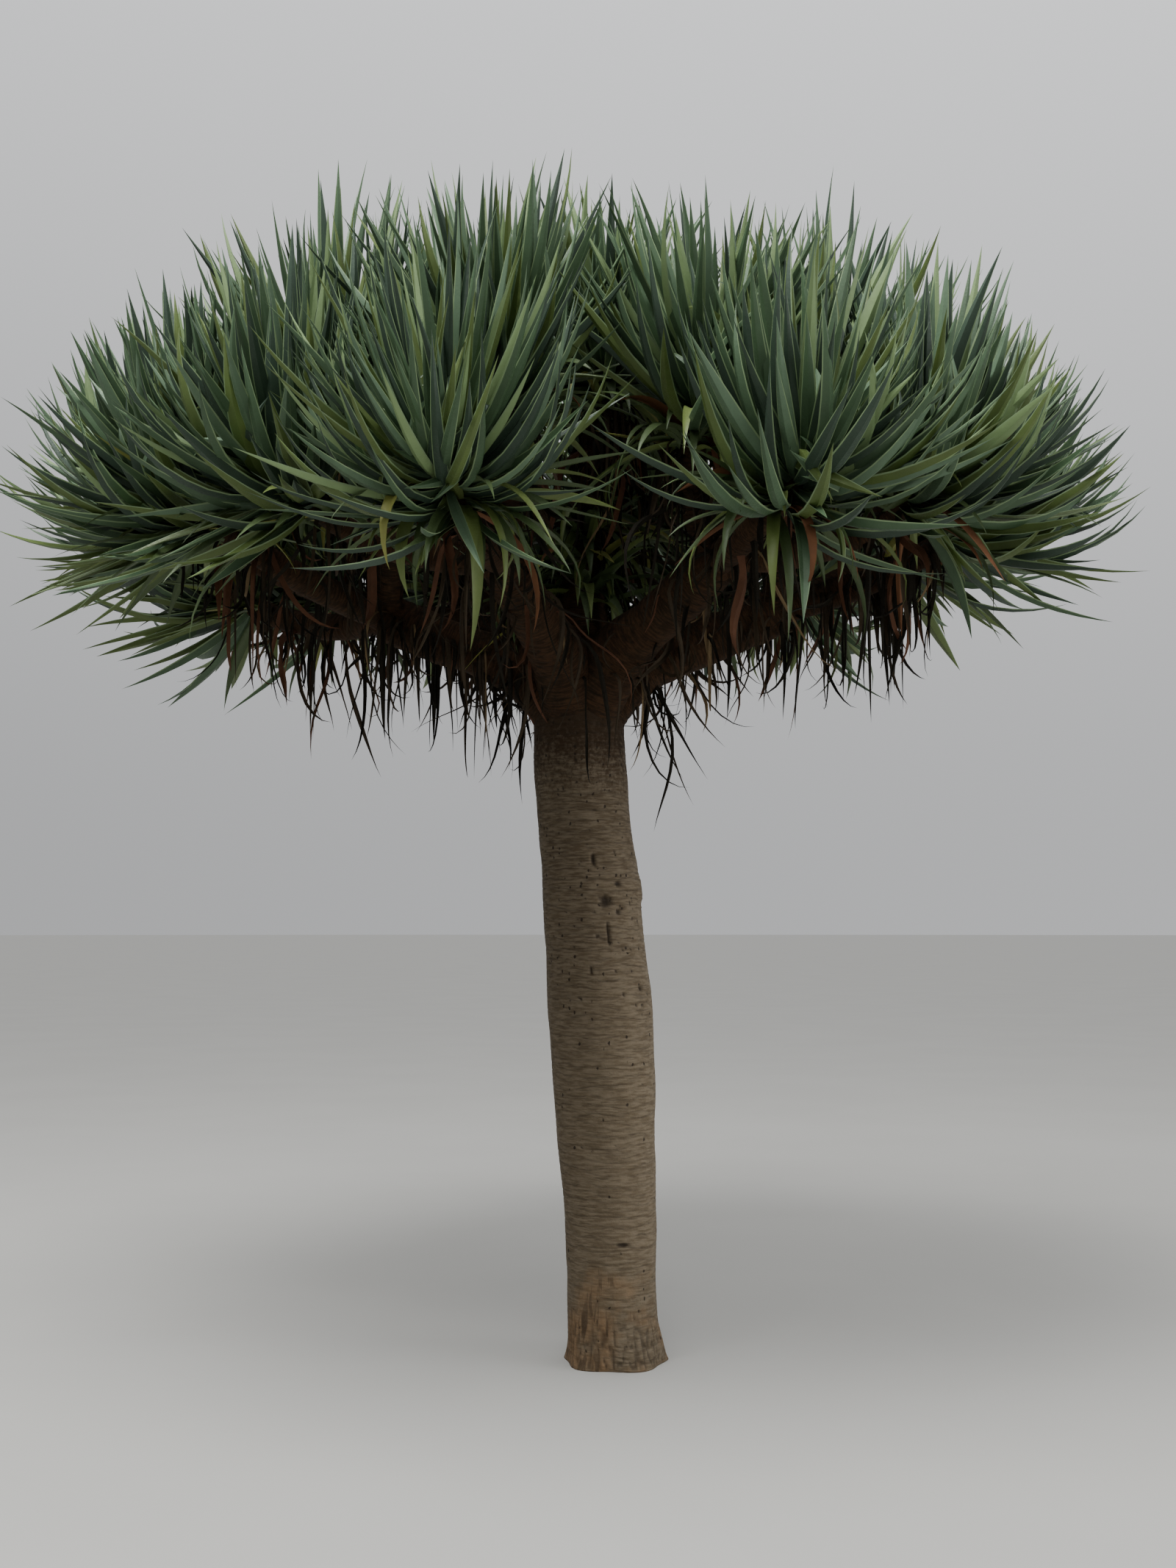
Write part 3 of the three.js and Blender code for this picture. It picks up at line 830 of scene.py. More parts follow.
def leaf_material(name, tint, roughness, change):
    """A plain tint with a faint change in lightness and a waxy or dry, slightly uneven skin."""
    found = bpy.data.materials.get(name)
    if found:
        return found
    material, tree, shader = new_material(name, roughness, WAXY if roughness < DRY_FROM else DRY)
    mottle = add_group(tree, "mottle", object_place(tree), scale=9)
    lighter = [min(1, c * (1 + change)) for c in tint]
    darker = [c * (1 - change) for c in tint]
    tree.links.new(add_mix(tree, mottle["Broad"], darker, lighter), shader["Base Color"])
    rough = add_range(tree, mottle["Fine"], 0.0, 1.0, roughness - 0.07, roughness + 0.07)
    tree.links.new(rough, shader["Roughness"])
    tree.links.new(add_bump(tree, mottle["Fine"], 0.0006, 0.35), shader["Normal"])
    return material


def leaf_materials(settings, skins):
    return [leaf_material(name, getattr(settings, key), *skin) for name, key, *skin in skins]


# Trunk

def trunk_rings(count):
    """Height, lean and radius of the trunk's solid, read from the frame and spaced evenly."""
    points = vectors_of(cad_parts["trunk"].data.vertices, "co")
    rows = []
    for height in np.unique(points[:, 2].round(4)):
        ring = np.unique(points[np.abs(points[:, 2] - height) < 1e-4].round(5), axis=0)
        if len(ring) < 3:
            continue
        centre = (ring[:, 0].min() + ring[:, 0].max()) / 2
        away = np.hypot(ring[:, 0] - centre, ring[:, 1])
        rows.append((height, centre, away[away > 0.02].mean()))
    heights, centres, radii = np.array(rows).T
    even = np.linspace(0, heights[-1], count)
    return np.stack([even, np.interp(even, heights, centres), np.interp(even, heights, radii)], 1)


def extrude_trunk(trunk):
    """A circle at the ground, extruded up through the rings, closed and smoothed."""
    rings = trunk_rings(trunk.rings)
    deselect()
    height, lean, radius = rings[0]
    bpy.ops.mesh.primitive_circle_add(vertices=trunk.sides, radius=radius, location=(lean, 0, height))
    piece = bpy.context.object
    bpy.ops.object.mode_set(mode="EDIT")
    bpy.ops.mesh.select_all(action="SELECT")
    for (low, low_lean, low_radius), (high, high_lean, high_radius) in zip(rings, rings[1:]):
        step = (high_lean - low_lean, 0, high - low)
        bpy.ops.mesh.extrude_region_move(TRANSFORM_OT_translate={"value": step})
        size = high_radius / low_radius
        bpy.ops.transform.resize(value=(size, size, 1), center_override=(high_lean, 0, high))
    bpy.ops.mesh.edge_face_add()
    bpy.ops.mesh.inset(thickness=0.02)
    bpy.ops.mesh.poke()
    bpy.ops.mesh.select_all(action="DESELECT")
    bpy.ops.object.mode_set(mode="OBJECT")
    for edge in piece.data.edges:
        edge.select = all(piece.data.vertices[i].co.z < 1e-5 for i in edge.vertices)
    bpy.ops.object.mode_set(mode="EDIT")
    bpy.ops.mesh.edge_face_add()
    bpy.ops.transform.edge_crease(value=1)
    bpy.ops.mesh.select_all(action="SELECT")
    bpy.ops.mesh.normals_make_consistent(inside=False)
    bpy.ops.object.mode_set(mode="OBJECT")
    bpy.ops.object.transform_apply(location=True, rotation=True, scale=True)
    apply_modifier(piece, "SUBSURF", levels=2, render_levels=2)
    return piece


def groove(values, spacing, width):
    """1 on lines that lie a spacing apart, falling to 0 within a width on either side."""
    away = np.abs((values / spacing + 0.5) % 1 - 0.5) * spacing
    return 1 - smooth_step(0, width, away)


def carve_trunk(piece, trunk):
    """Relief of the bark: swellings, ring scars, pits, fissures at the foot, and the marks that show, and
    the painted shade of the carved recesses.
    """
    mesh = piece.data
    points = vectors_of(mesh.vertices, "co")
    rings = trunk_rings(trunk.rings)
    height = points[:, 2]
    nothing = np.zeros(len(points))
    lean = np.interp(height, rings[:, 0], rings[:, 1])
    outward = points - np.stack([lean, nothing, height], 1)
    radius = np.hypot(outward[:, 0], outward[:, 1])
    outward = outward / np.maximum(radius, 1e-6)[:, None]
    turn = np.arctan2(outward[:, 0], -outward[:, 1])
    on_side = smooth_step(0.03, 0.10, radius)
    above_cut = smooth_step(0, ABOVE_CUT, height)

    lobes = np.cos(FLARE_LOBES * (np.arctan2(-outward[:, 1], outward[:, 0]) + 0.2))
    flare = trunk.flare * np.clip(1 - height / trunk.flare_height, 0, 1) ** 2 * lobes
    rise = flare + trunk.lump * noise(points, 0.24, 1) + 0.4 * trunk.lump * noise(points, 0.075, 2)

    waver = 0.012 * noise(points * [1, 1, 0.6], 0.12, 3) + 0.004 * noise(points, 0.03, 4)
    broken = smooth_step(-0.15, 0.35, noise(points * [1, 1, 2.5], 0.09, 5))
    first, second = TRUNK_SCARS
    scars = groove(height + waver, *first) * broken
    scars = np.maximum(scars, groove(height + 1.7 * waver, *second) * (1 - broken))

    speckle = noise(points * [1, 1, 0.8], 0.0095, 6) + 0.5 * noise(points, 0.028, 7)
    limit = lerp(PIT_LIMITS["low"], PIT_LIMITS["high"], smooth_step(*PIT_LIMITS["heights"], height))
    pits = smooth_step(0, 0.22, speckle - limit)

    low = 1 - smooth_step(0.06, 0.30, height + 0.07 * noise(points, 0.10, 8))
    streaks = noise(np.stack([turn * 0.17 * 3.2, height * 0.55, nothing], 1), 0.030, 9)
    fissures = (1 - smooth_step(0.0, 0.42, np.abs(streaks))) * low

    marks, mark_shade = nothing, nothing
    for number, (degrees, middle, wide, tall, depth) in enumerate(TRUNK_MARKS):
        round_by = np.angle(np.exp(1j * (turn - math.radians(degrees)))) * radius
        ragged = 1 + 0.35 * noise(points, 0.011, 20 + number)
        away = np.hypot(round_by / wide, (height - middle) / tall) * ragged
        inside = 1 - smooth_step(0.35, 1.15, away)
        marks = marks + depth * inside
        if depth > 0:
            mark_shade = np.maximum(mark_shade, inside)
            marks = marks - 0.001 * np.exp(-((away - 1.3) ** 2) / 0.06)

    rise = rise - (trunk.scar * scars + trunk.pit * pits + trunk.fissure * fissures + marks)
    rise = lerp(flare, rise, above_cut) * on_side
    move_points(mesh, points + outward * rise[:, None])
    # Painted shade: the carved pits, scars, fissures and marks are stored to darken the bark's colour, as
    # shade would fall in them.
    hollow = np.maximum.reduce([0.85 * pits, 0.35 * scars, 0.6 * fissures, 0.9 * mark_shade])
    store(mesh, "hollow", "FLOAT", "value", hollow * above_cut)


# Boughs and limbs

def bezier(start, elbow, end, count):
    """Points on the quadratic curve from start to end, from one end to the other."""
    share = np.linspace(0, 1, count)[:, None]
    return (1 - share) ** 2 * start + 2 * share * (1 - share) * elbow + share**2 * end


def add_tube(start, elbow, end, radii):
    """A closed mesh along the curve from start to end, as thick as the radii spaced evenly along it."""
    deselect()
    bpy.ops.curve.primitive_bezier_curve_add()
    tube = bpy.context.object
    bpy.ops.object.mode_set(mode="EDIT")
    bpy.ops.curve.select_all(action="SELECT")
    bpy.ops.curve.subdivide(number_cuts=len(radii) - 2)
    bpy.ops.object.mode_set(mode="OBJECT")
    shares = np.linspace(0, 1, len(radii))
    places = bezier(start, elbow, end, len(radii))
    for point, share, place, radius in zip(tube.data.splines[0].bezier_points, shares, places, radii):
        handle = (2 * (1 - share) * (elbow - start) + 2 * share * (end - elbow)) * (shares[1] / 3)
        point.handle_left_type = point.handle_right_type = "FREE"
        point.co = place
        point.handle_left = place - handle
        point.handle_right = place + handle
        point.radius = radius
    tube.data.bevel_depth = 1
    tube.data.bevel_resolution = 6
    tube.data.resolution_u = 8
    tube.data.use_fill_caps = True
    bpy.ops.object.convert(target="MESH")
    return bpy.context.object


def limb_elbow(rosette):
    """The middle point of a limb's curve, in line with its rosette."""
    span = np.linalg.norm(rosette.bough.tip - rosette.foot)
    return rosette.foot - rosette.axis * LIMB_BOW * span


def limb_paths(bough, rosettes, sizes):
    """Curves of a bough and its limbs, each with its radii. The limbs run on into their rosettes' hearts."""
    root, waist, tip, limb_tip = sizes.root_radius, sizes.waist_radius, sizes.tip_radius, sizes.limb_tip
    crotch = bezier(FORK, bough.elbow, bough.tip, 11)[4]
    buttress = [root * share for share in (0.9, 1.08, 1.12, 1.02, 0.8)]
    paths = [
        (FORK, bough.elbow, bough.tip, [root, root, root * 0.94, waist, waist, tip, tip]),
        (FORK - 0.30 * UP, FORK - 0.05 * UP, crotch, buttress),
    ]
    for rosette in rosettes:
        radii = list(np.linspace(sizes.limb_root, limb_tip, 5))
        paths.append((bough.tip, limb_elbow(rosette), rosette.foot, radii))
        end = rosette.heart + 0.05 * rosette.axis
        stem = [limb_tip, limb_tip * 1.08, limb_tip * 0.9, limb_tip * 0.45]
        paths.append((rosette.foot, lerp(rosette.foot, end, 0.5), end, stem))
    return paths


def place_on_limbs(points, paths):
    """Coordinates that follow the limbs: across each one in two directions, and how far along it."""
    lines = [bezier(start, elbow, end, 48) for start, elbow, end, _ in paths]
    starts = np.concatenate([line[:-1] for line in lines])
    steps = np.concatenate([line[1:] - line[:-1] for line in lines])
    run = [np.cumsum(np.linalg.norm(np.diff(line, axis=0), axis=1))[:-1] for line in lines]
    lengths = np.concatenate([PATTERN_STEP * n + np.concatenate([[0], part]) for n, part in enumerate(run)])
    place = np.empty((len(points), 3))
    for first in range(0, len(points), BATCH):
        part = points[first : first + BATCH]
        nearest = np.argmin(((part[:, None] - starts[None]) ** 2).sum(-1), axis=1)
        tangent = steps[nearest] / np.linalg.norm(steps[nearest], axis=1, keepdims=True)
        along = dot(part - starts[nearest], tangent)
        away = part - starts[nearest] - along * tangent
        east = unit(np.cross(tangent, SLANTED))
        north = np.cross(tangent, east)
        place[first : first + BATCH] = np.concatenate(
            [dot(away, east), dot(away, north), lengths[nearest][:, None] + along], axis=1
        )
    return place


def carve_bough(piece, paths, sizes):
    """Relief of the boughs: swellings, broad ring scars and cracks that follow each limb, and the painted
    shade of the carved recesses.
    """
    mesh = piece.data
    points = vectors_of(mesh.vertices, "co")
    place = place_on_limbs(points, paths)
    rise = sizes.lump * noise(points, 0.11, 31) + 0.5 * sizes.lump * noise(points, 0.042, 32)
    waver = 0.010 * noise(place, 0.07, 33)
    scars = groove(place[:, 2] + waver, *BOUGH_SCARS) * smooth_step(-0.3, 0.2, noise(place, 0.10, 34))
    cracks = smooth_step(0.45, 0.8, noise(place * [1, 1, 2.2], 0.028, 35))
    rise -= sizes.scar * scars + 0.003 * cracks
    move_points(mesh, points + vectors_of(mesh.vertex_normals, "vector") * rise[:, None])
    # Painted shade: the carved scars and cracks are stored to darken the bark's colour.
    store(mesh, "hollow", "FLOAT", "value", np.maximum(0.45 * scars, 0.7 * cracks))
    store(mesh, "along_limb", "FLOAT_VECTOR", "vector", place)


def build_bough(bough, rosettes, sizes):
    paths = limb_paths(bough, rosettes, sizes)
    tubes = [add_tube(*path) for path in paths]
    deselect()
    for tube in tubes:
        tube.select_set(True)
    bpy.context.view_layer.objects.active = tubes[0]
    bpy.ops.object.join()
    piece = bpy.context.object
    bpy.ops.object.transform_apply(location=True, rotation=True, scale=True)
    apply_modifier(piece, "REMESH", mode="VOXEL", voxel_size=sizes.voxel, use_smooth_shade=True)
    apply_modifier(piece, "SMOOTH", factor=0.5, iterations=7)
    carve_bough(piece, paths, sizes)
    piece.data.materials.clear()
    return piece


# Leaves

@dataclass
class Blades:
    """Many blades at once. Each starts at base along heading, and bends towards or away from toward."""

    base: np.ndarray
    heading: np.ndarray
    toward: np.ndarray
    length: np.ndarray
    width: np.ndarray
    bend: np.ndarray
    twist: np.ndarray
    tint: np.ndarray


def join_blades(parts):
    names = [field.name for field in fields(Blades)]
    return Blades(*(np.concatenate([getattr(part, name) for part in parts]) for name in names))


def follow(blades, outline):
    """Centre, across and upper directions of every blade at the stations of its outline."""
    rise = unit(blades.toward - dot(blades.toward, blades.heading) * blades.heading)
    across = np.cross(rise, blades.heading)[:, None]
    cosine = np.cos(blades.bend)[..., None]
    sine = np.sin(blades.bend)[..., None]
    direction = cosine * blades.heading[:, None] + sine * rise[:, None]
    upper = cosine * rise[:, None] - sine * blades.heading[:, None]
    steps = (direction[:, 1:] + direction[:, :-1]) / 2 * (blades.length / FINE_STEPS)[:, None, None]
    run = np.concatenate([np.zeros_like(steps[:, :1]), np.cumsum(steps, axis=1)], axis=1)
    path = blades.base[:, None] + run
    turn = blades.twist[:, None] * FINE[None]
    across, upper = (
        np.cos(turn)[..., None] * across + np.sin(turn)[..., None] * upper,
        np.cos(turn)[..., None] * upper - np.sin(turn)[..., None] * across,
    )
    stations = np.rint(outline[:, 0] * FINE_STEPS).astype(int)
    return path[:, stations], across[:, stations], upper[:, stations]


def blade_mesh(blades, outline, section, strips, thickness, channel, angle=50):
    """One joined mesh of closed blades. The section lists points round a blade, right edge first: how far
    across and how far up, in half widths and channel depths, and its share of the thickness below that.
    The strips give each face round the section its material, or the blade's own tint."""
    path, across, upper = follow(blades, outline)
    count, stations = path.shape[:2]
    sides = len(section)
    half = blades.width[:, None] / 2 * outline[None, :, 1]
    ring = np.empty((count, stations - 1, sides, 3))
    for side, (aside, up, below) in enumerate(section):
        lift = half[:, :-1] * channel * up - thickness * outline[None, :-1, 1] * below
        ring[:, :, side] = path[:, :-1] + across[:, :-1] * (half[:, :-1] * aside)[..., None]
        ring[:, :, side] += upper[:, :-1] * lift[..., None]
    vertices = np.concatenate([ring.reshape(count, -1, 3), path[:, -1:]], axis=1)
    each = vertices.shape[1]

    last = (stations - 2) * sides
    faces = [
        (near + side, near + (side + 1) % sides, near + sides + (side + 1) % sides, near + sides + side)
        for near, side in itertools.product(range(0, last, sides), range(sides))
    ]
    faces += [(last + side, last + (side + 1) % sides, each - 1) for side in range(sides)]
    faces.append(tuple(reversed(range(sides))))
    face_strips = np.array(strips * (stations - 1) + [OWN_TINT])

    loops = np.concatenate(faces)
    all_loops = (loops[None] + each * np.arange(count)[:, None]).ravel()
    all_totals = np.tile([len(face) for face in faces], count)
    all_starts = np.concatenate([[0], np.cumsum(all_totals)[:-1]])
    material = np.where(face_strips[None] == OWN_TINT, blades.tint[:, None], face_strips[None])

    mesh = bpy.data.meshes.new("blades")
    mesh.vertices.add(count * each)
    mesh.vertices.foreach_set("co", vertices.astype(np.float32).ravel())
    mesh.loops.add(len(all_loops))
    mesh.loops.foreach_set("vertex_index", all_loops.astype(np.int32))
    mesh.polygons.add(len(all_totals))
    mesh.polygons.foreach_set("loop_start", all_starts.astype(np.int32))
    mesh.polygons.foreach_set("loop_total", all_totals.astype(np.int32))
    mesh.polygons.foreach_set("material_index", material.astype(np.int32).ravel())
    mesh.update(calc_edges=True)
    piece = bpy.data.objects.new("blades", mesh)
    bpy.context.scene.collection.objects.link(piece)
    deselect()
    piece.select_set(True)
    bpy.context.view_layer.objects.active = piece
    bpy.ops.object.shade_smooth_by_angle(angle=math.radians(angle))
    return piece


def leaf_section(margin):
    """Points round a leaf whose margins are this share of its half width, over the channel and back."""
    inner = 1 - margin
    over = [(1, 1, 0), (inner, 0.86, 0), (0, 0, 0), (-inner, 0.86, 0), (-1, 1, 0)]
    return [*over, (-0.88, 0.79, 0.3), (0, 0, 1), (0.88, 0.79, 0.3)]


def rosette_frame(rosette, turns):
    """Directions square to the rosette's axis, at these turns round it."""
    east = square_to(rosette.axis)
    north = np.cross(rosette.axis, east)
    return np.cos(turns)[:, None] * east + np.sin(turns)[:, None] * north


def leaf_headings(rosette, angles, radial):
    """Directions at these angles from the rosette's axis. Those that would point far down are raised."""
    heading = np.cos(angles)[:, None] * rosette.axis + np.sin(angles)[:, None] * radial
    outward = unit(rosette.axis * [1, 1, 0])
    turned = LOWEST_START["outward"] * outward * np.clip(-heading[:, 2:], 0, None)
    level = unit(heading * [1, 1, 0] + turned)
    rise = np.arcsin(np.clip(heading[:, 2:], -1, 1))
    lowest = math.radians(LOWEST_START["degrees"])
    rise = np.where(rise < lowest, lowest + LOWEST_START["kept"] * (rise - lowest), rise)
    return np.cos(rise) * level + np.sin(rise) * UP


def bend_of(lift, early, tip):
    """How far each blade has turned at each fine step: a lift, early or late, and a curl at its tip."""
    eased = 1 - (1 - FINE[None]) ** early[:, None]
    return lift[:, None] * eased + tip[:, None] * FINE[None] ** 3


def own_space(points, rosette, hearts):
    """How much nearer each point is to its own heart than to the nearest other one."""
    away = np.linalg.norm(points[:, None] - hearts[None], axis=-1)
    own = np.linalg.norm(points - rosette.heart, axis=-1)
    others = np.where(np.linalg.norm(hearts - rosette.heart, axis=-1) < 1e-6, np.inf, away)
    return others.min(1) - own


def leaf_lift(heading, order, crowded, random):
    """How far each leaf curves up from the way it starts."""
    curves, count = LEAF_CURVES, len(order)
    starts = np.degrees(np.arcsin(np.clip(heading[:, 2], -1, 1)))
    ends = np.interp(order, curves["order"], curves["rise"]) + random.normal(0, LEAF_SPREAD["rise"], count)
    ends = np.minimum(ends + curves["crowded"] * crowded, curves["steepest"])
    lift = np.radians(np.clip(ends - starts, *curves["bend"]))
    lift = lift * np.interp(order, curves["order"], curves["share"])
    return lift * random.uniform(*LEAF_SPREAD["lift"], count)


def plan_living(rosette, hearts, leaf, random):
    """Living leaves of one rosette. Leaves that reach far into another rosette are drawn in."""
    spread = LEAF_SPREAD
    count = int(getattr(leaf, rosette.ring) * LEAF_COUNTS.get(rosette.name, 1))
    number = np.arange(count)
    order = (number + 0.5) / count
    turns = rosette.phase + number * GOLDEN_ANGLE + random.normal(0, spread["turn"], count)
    radial = rosette_frame(rosette, turns)
    widest = np.arccos(lerp(STANCE["top_cosine"], STANCE["foot_cosine"], order))
    widest = widest + random.normal(0, spread["widest"], count)
    base = rosette.heart + rosette.axis * lerp(STANCE["top_root"], STANCE["foot_root"], order)[:, None]
    base = base + radial * lerp(0.012, 0.040, np.sqrt(order))[:, None]
    size = LEAF_SIZES.get(rosette.name, LEAF_SIZES[rosette.ring])
    width = leaf.width * LEAF_WIDTHS.get(rosette.name, LEAF_WIDTHS[rosette.ring])
    full = leaf.length * size * random.uniform(*spread["length"], count)
    full = full * lerp(YOUNGEST["length"], 1.0, smooth_step(0, 0.25, order))
    full = full * (1 + UPPER_LEAVES * smooth_step(0, 0.7, radial[:, 2]))

    low = (order > LOW_LEAVES["order"]) & (radial[:, 2] < LOW_LEAVES["height"])
    chance = DROOPING.get(rosette.name, DROOPING_ELSEWHERE)
    drooping = low & (order > 0.5) & (random.random(count) < chance)
    clawed = low & ~drooping & (random.random(count) < CLAWED["chance"])
    widest = np.where(clawed, np.radians(random.uniform(*CLAWED["angle"], count)), widest)
    aside = random.normal(0, spread["aside"], count) * np.where(clawed, CLAWED["aside"], 1)
    aside = np.cross(radial, rosette.axis) * aside[:, None]
    base = base + rosette.axis * (clawed * random.uniform(*CLAWED["root"], count))[:, None]
    toward = unit(0.12 * rosette.axis + 0.88 * UP + aside)

    drawn = np.zeros(count)
    for _ in range(DRAW_IN["tries"]):
        angles = widest * (1 - DRAW_IN["angle"] * drawn)
        length = full * (1 - DRAW_IN["length"] * drawn)
        heading = leaf_headings(rosette, angles, radial)
        reached = base + unit(heading + 0.4 * UP) * (0.8 * length)[:, None]
        space = own_space(reached, rosette, hearts)
        drawn = drawn + (space < -DRAW_IN["overlap"])

    droop = LONG_DROOP if rosette.name in DROOPING else SHORT_DROOP
    lift = leaf_lift(heading, order, 1 - smooth_step(0.0, 0.5, space), random)
    lift = np.where(clawed, np.radians(random.uniform(*CLAWED["lift"], count)), lift)
    lift = np.where(drooping, np.radians(random.uniform(*droop["lift"], count)), lift)
    claw_early = random.uniform(*CLAWED["early"], count)
    early = np.where(clawed, claw_early, random.uniform(*spread["early"], count))
    length = length * np.where(drooping, random.uniform(*droop["length"], count), 1)
    length = length * np.where(clawed, random.uniform(*CLAWED["length"], count), 1)
    tints = random.choice(len(LEAF_TINTS[rosette.ring]), count, p=LEAF_TINTS[rosette.ring])
    # Older leaves that are glaucous, pale or olive take the low tints instead; the deep one among them
    # paints shade low in the rosette.
    tints = np.where((order > 0.6) & (tints > 1) & ~clawed, random.choice(LOW_TINTS, count), tints)
    tints = np.where(drooping & (random.random(count) < 0.5), OLIVE, tints)
    width = width * random.uniform(*spread["width"], count)
    width = width * lerp(YOUNGEST["width"], 1, smooth_step(0, 0.3, order))
    width = width * np.where(clawed, CLAWED["width"], 1)
    bend = bend_of(lift, early, random.normal(0.0, spread["tip"], count))
    twist = random.normal(0, spread["twist"], count)
    return Blades(base, heading, toward, length, width, bend, twist, tints)


def plan_old(rosette, old, random):
    """Yellowing leaves at the foot of a rosette, which go out and arch down."""
    spread = OLD_SPREAD
    count = OLD_COUNTS.get(rosette.name, old.count)
    outward = unit(rosette.axis * [1, 1, 0] + FRONT_NUDGE)
    turns = random.uniform(-spread["turn"], spread["turn"], count)[:, None]
    level = np.cos(turns) * outward + np.sin(turns) * np.cross(UP, outward)
    rise = np.radians(random.uniform(*spread["rise"], count))[:, None]
    heading = np.cos(rise) * level + np.sin(rise) * UP
    along = random.uniform(*spread["along"], count)[:, None]
    radial = unit(heading - dot(heading, rosette.axis) * rosette.axis)
    base = rosette.heart + rosette.axis * along + radial * spread["away"]
    stiff = random.random(count) < spread["stiff"]
    stiff_arch = random.uniform(*spread["stiff_arch"], count)
    arch = -old.arch * np.where(stiff, stiff_arch, random.uniform(*spread["arch"], count))
    length = old.length
    if rosette.name in DROOPING:
        arch = arch * OLD_AT_SIDES["arch"]
        length = length * OLD_AT_SIDES["length"]
    early = random.uniform(*spread["early"], count)
    bend = bend_of(arch, early, random.normal(0, spread["tip"], count))
    length = length * random.uniform(*spread["length"], count)
    width = old.width * random.uniform(*spread["width"], count)
    twist = random.normal(0, spread["twist"], count)
    tints = random.choice(len(spread["tints"]), count, p=spread["tints"])
    return Blades(base, heading, np.broadcast_to(UP, (count, 3)), length, width, bend, twist, tints)


def hanging(base, heading, dead, random):
    """Dead leaves from these places: they fold over and hang, each with its own curl."""
    spread, count = DEAD_SPREAD, len(base)
    drop = np.arccos(np.clip(-heading[:, 2], -1, 1))
    fold = smooth_step(0.0, 1.0, FINE[None] / random.uniform(*spread["fold"], count)[:, None])
    start = random.uniform(0, 6.3, count)[:, None]
    waves = random.uniform(*spread["waves"], count)[:, None] * FINE[None] + start
    sway = random.normal(0, spread["sway"], count)[:, None] * (np.sin(waves) - np.sin(start))
    curl = random.normal(0, spread["curl"], count)[:, None] * FINE[None] ** 3
    bend = (drop * random.uniform(*spread["fall"], count))[:, None] * fold + sway + curl
    length = lerp(dead.shortest, dead.longest, random.random(count) ** 2.0)
    width = dead.width * random.uniform(*spread["width"], count)
    twist = random.normal(0, spread["twist"], count)
    tints = random.choice(len(spread["tints"]), count, p=spread["tints"])
    return Blades(base, heading, np.broadcast_to(-UP, (count, 3)), length, width, bend, twist, tints)


def plan_dead_under(rosette, dead, random):
    """Dead leaves on the stem under a rosette, the first few of them broad straps."""
    count = dead.outer if rosette.ring == "outer" else dead.inner
    radial = rosette_frame(rosette, random.uniform(0, 2 * math.pi, count))
    along = random.uniform(-0.22, 0.07, count)
    base = rosette.foot + rosette.axis * along[:, None] + radial * 0.040
    heading = unit(radial + rosette.axis * random.uniform(-0.6, 0.6, count)[:, None] - UP * 0.25)
    leaves = hanging(base, heading, dead, random)
    leaves.length[: dead.straps] = random.uniform(*STRAPS["length"], dead.straps)
    leaves.width[: dead.straps] = dead.width * STRAPS["width"]
    leaves.tint[: dead.straps] = 0
    return leaves


def plan_dead_along(path, count, radius, dead, random, reach=0.0):
    """Dead leaves caught along a bough or limb, which hang from its flanks. Four in ten are at least as
    long as the reach."""
    line = bezier(*path, 60)
    spots = random.integers(14, 58, count)
    tangent = unit(line[spots + 1] - line[spots - 1])
    beside = unit(np.cross(tangent, UP)) * random.choice([-1, 1], count)[:, None]
    base = line[spots] + beside * 0.86 * radius + UP * 0.15 * radius
    heading = unit(beside + tangent * random.normal(0, 0.4, count)[:, None] - UP * 0.4)
    leaves = hanging(base, heading, dead, random)
    leaves.length = np.maximum(leaves.length, random.uniform(0, 1.7, count) * reach)
    return leaves


def plan_dead_knuckle(bough, dead, random):
    """Dead leaves in a bunch under the end of a bough."""
    heading = unit(random.normal(0, 1, (dead.knuckle, 3)) * [1, 1, 0.3] - UP * 0.3)
    base = bough.tip + heading * 0.070 * [1, 1, 0.6] - UP * 0.02
    return hanging(base, heading, dead, random)


def plan_dead_fork(dead, random):
    """Dead leaves lodged between the boughs round the fork, which hang down past the trunk's top."""
    count, sides = dead.fork, DEAD_AT_FORK
    on_right = random.random(count) < sides["right"]
    right_turns = random.normal(*sides["right_side"], count)
    turns = np.where(on_right, right_turns, random.normal(*sides["left_side"], count))
    outward = np.stack([np.cos(turns), np.sin(turns), np.zeros(count)], 1)
    base = FORK + outward * random.uniform(0.165, 0.26, count)[:, None]
    base[:, 2] += random.uniform(-0.02, 0.12, count)
    heading = unit(outward + UP * random.uniform(-0.4, 0.5, count)[:, None])
    leaves = hanging(base, heading, dead, random)
    leaves.length[on_right] = random.uniform(*sides["right_length"], on_right.sum())
    return leaves


# Operators and the stage's lights

def carried_by(bough, rosettes):
    return [rosette for rosette in rosettes if rosette.bough is bough]


def add_light(kind, name, place, aim, power, **settings):
    bpy.ops.object.light_add(type=kind, location=place)
    lamp = bpy.context.object
    lamp.name = name
    lamp.data.energy = power
    for key, value in settings.items():
        setattr(lamp.data, key, value)
    lamp.rotation_mode = "QUATERNION"
    lamp.rotation_quaternion = (Vector(aim) - Vector(place)).to_track_quat("-Z", "Y")


class DRAGON_OT_trunk(bpy.types.Operator):
    """Extrude the trunk through the rings of its solid and carve its bark"""

    bl_idname = "dragon.trunk"
    bl_label = "Trunk"

    def execute(self, context):
        trunk = context.scene.dragon_trunk
        piece = extrude_trunk(trunk)
        carve_trunk(piece, trunk)
        bpy.ops.object.shade_smooth()
        finish_piece(piece, "trunk_with_bark", ["trunk"], [trunk_material(trunk)])
        return {"FINISHED"}


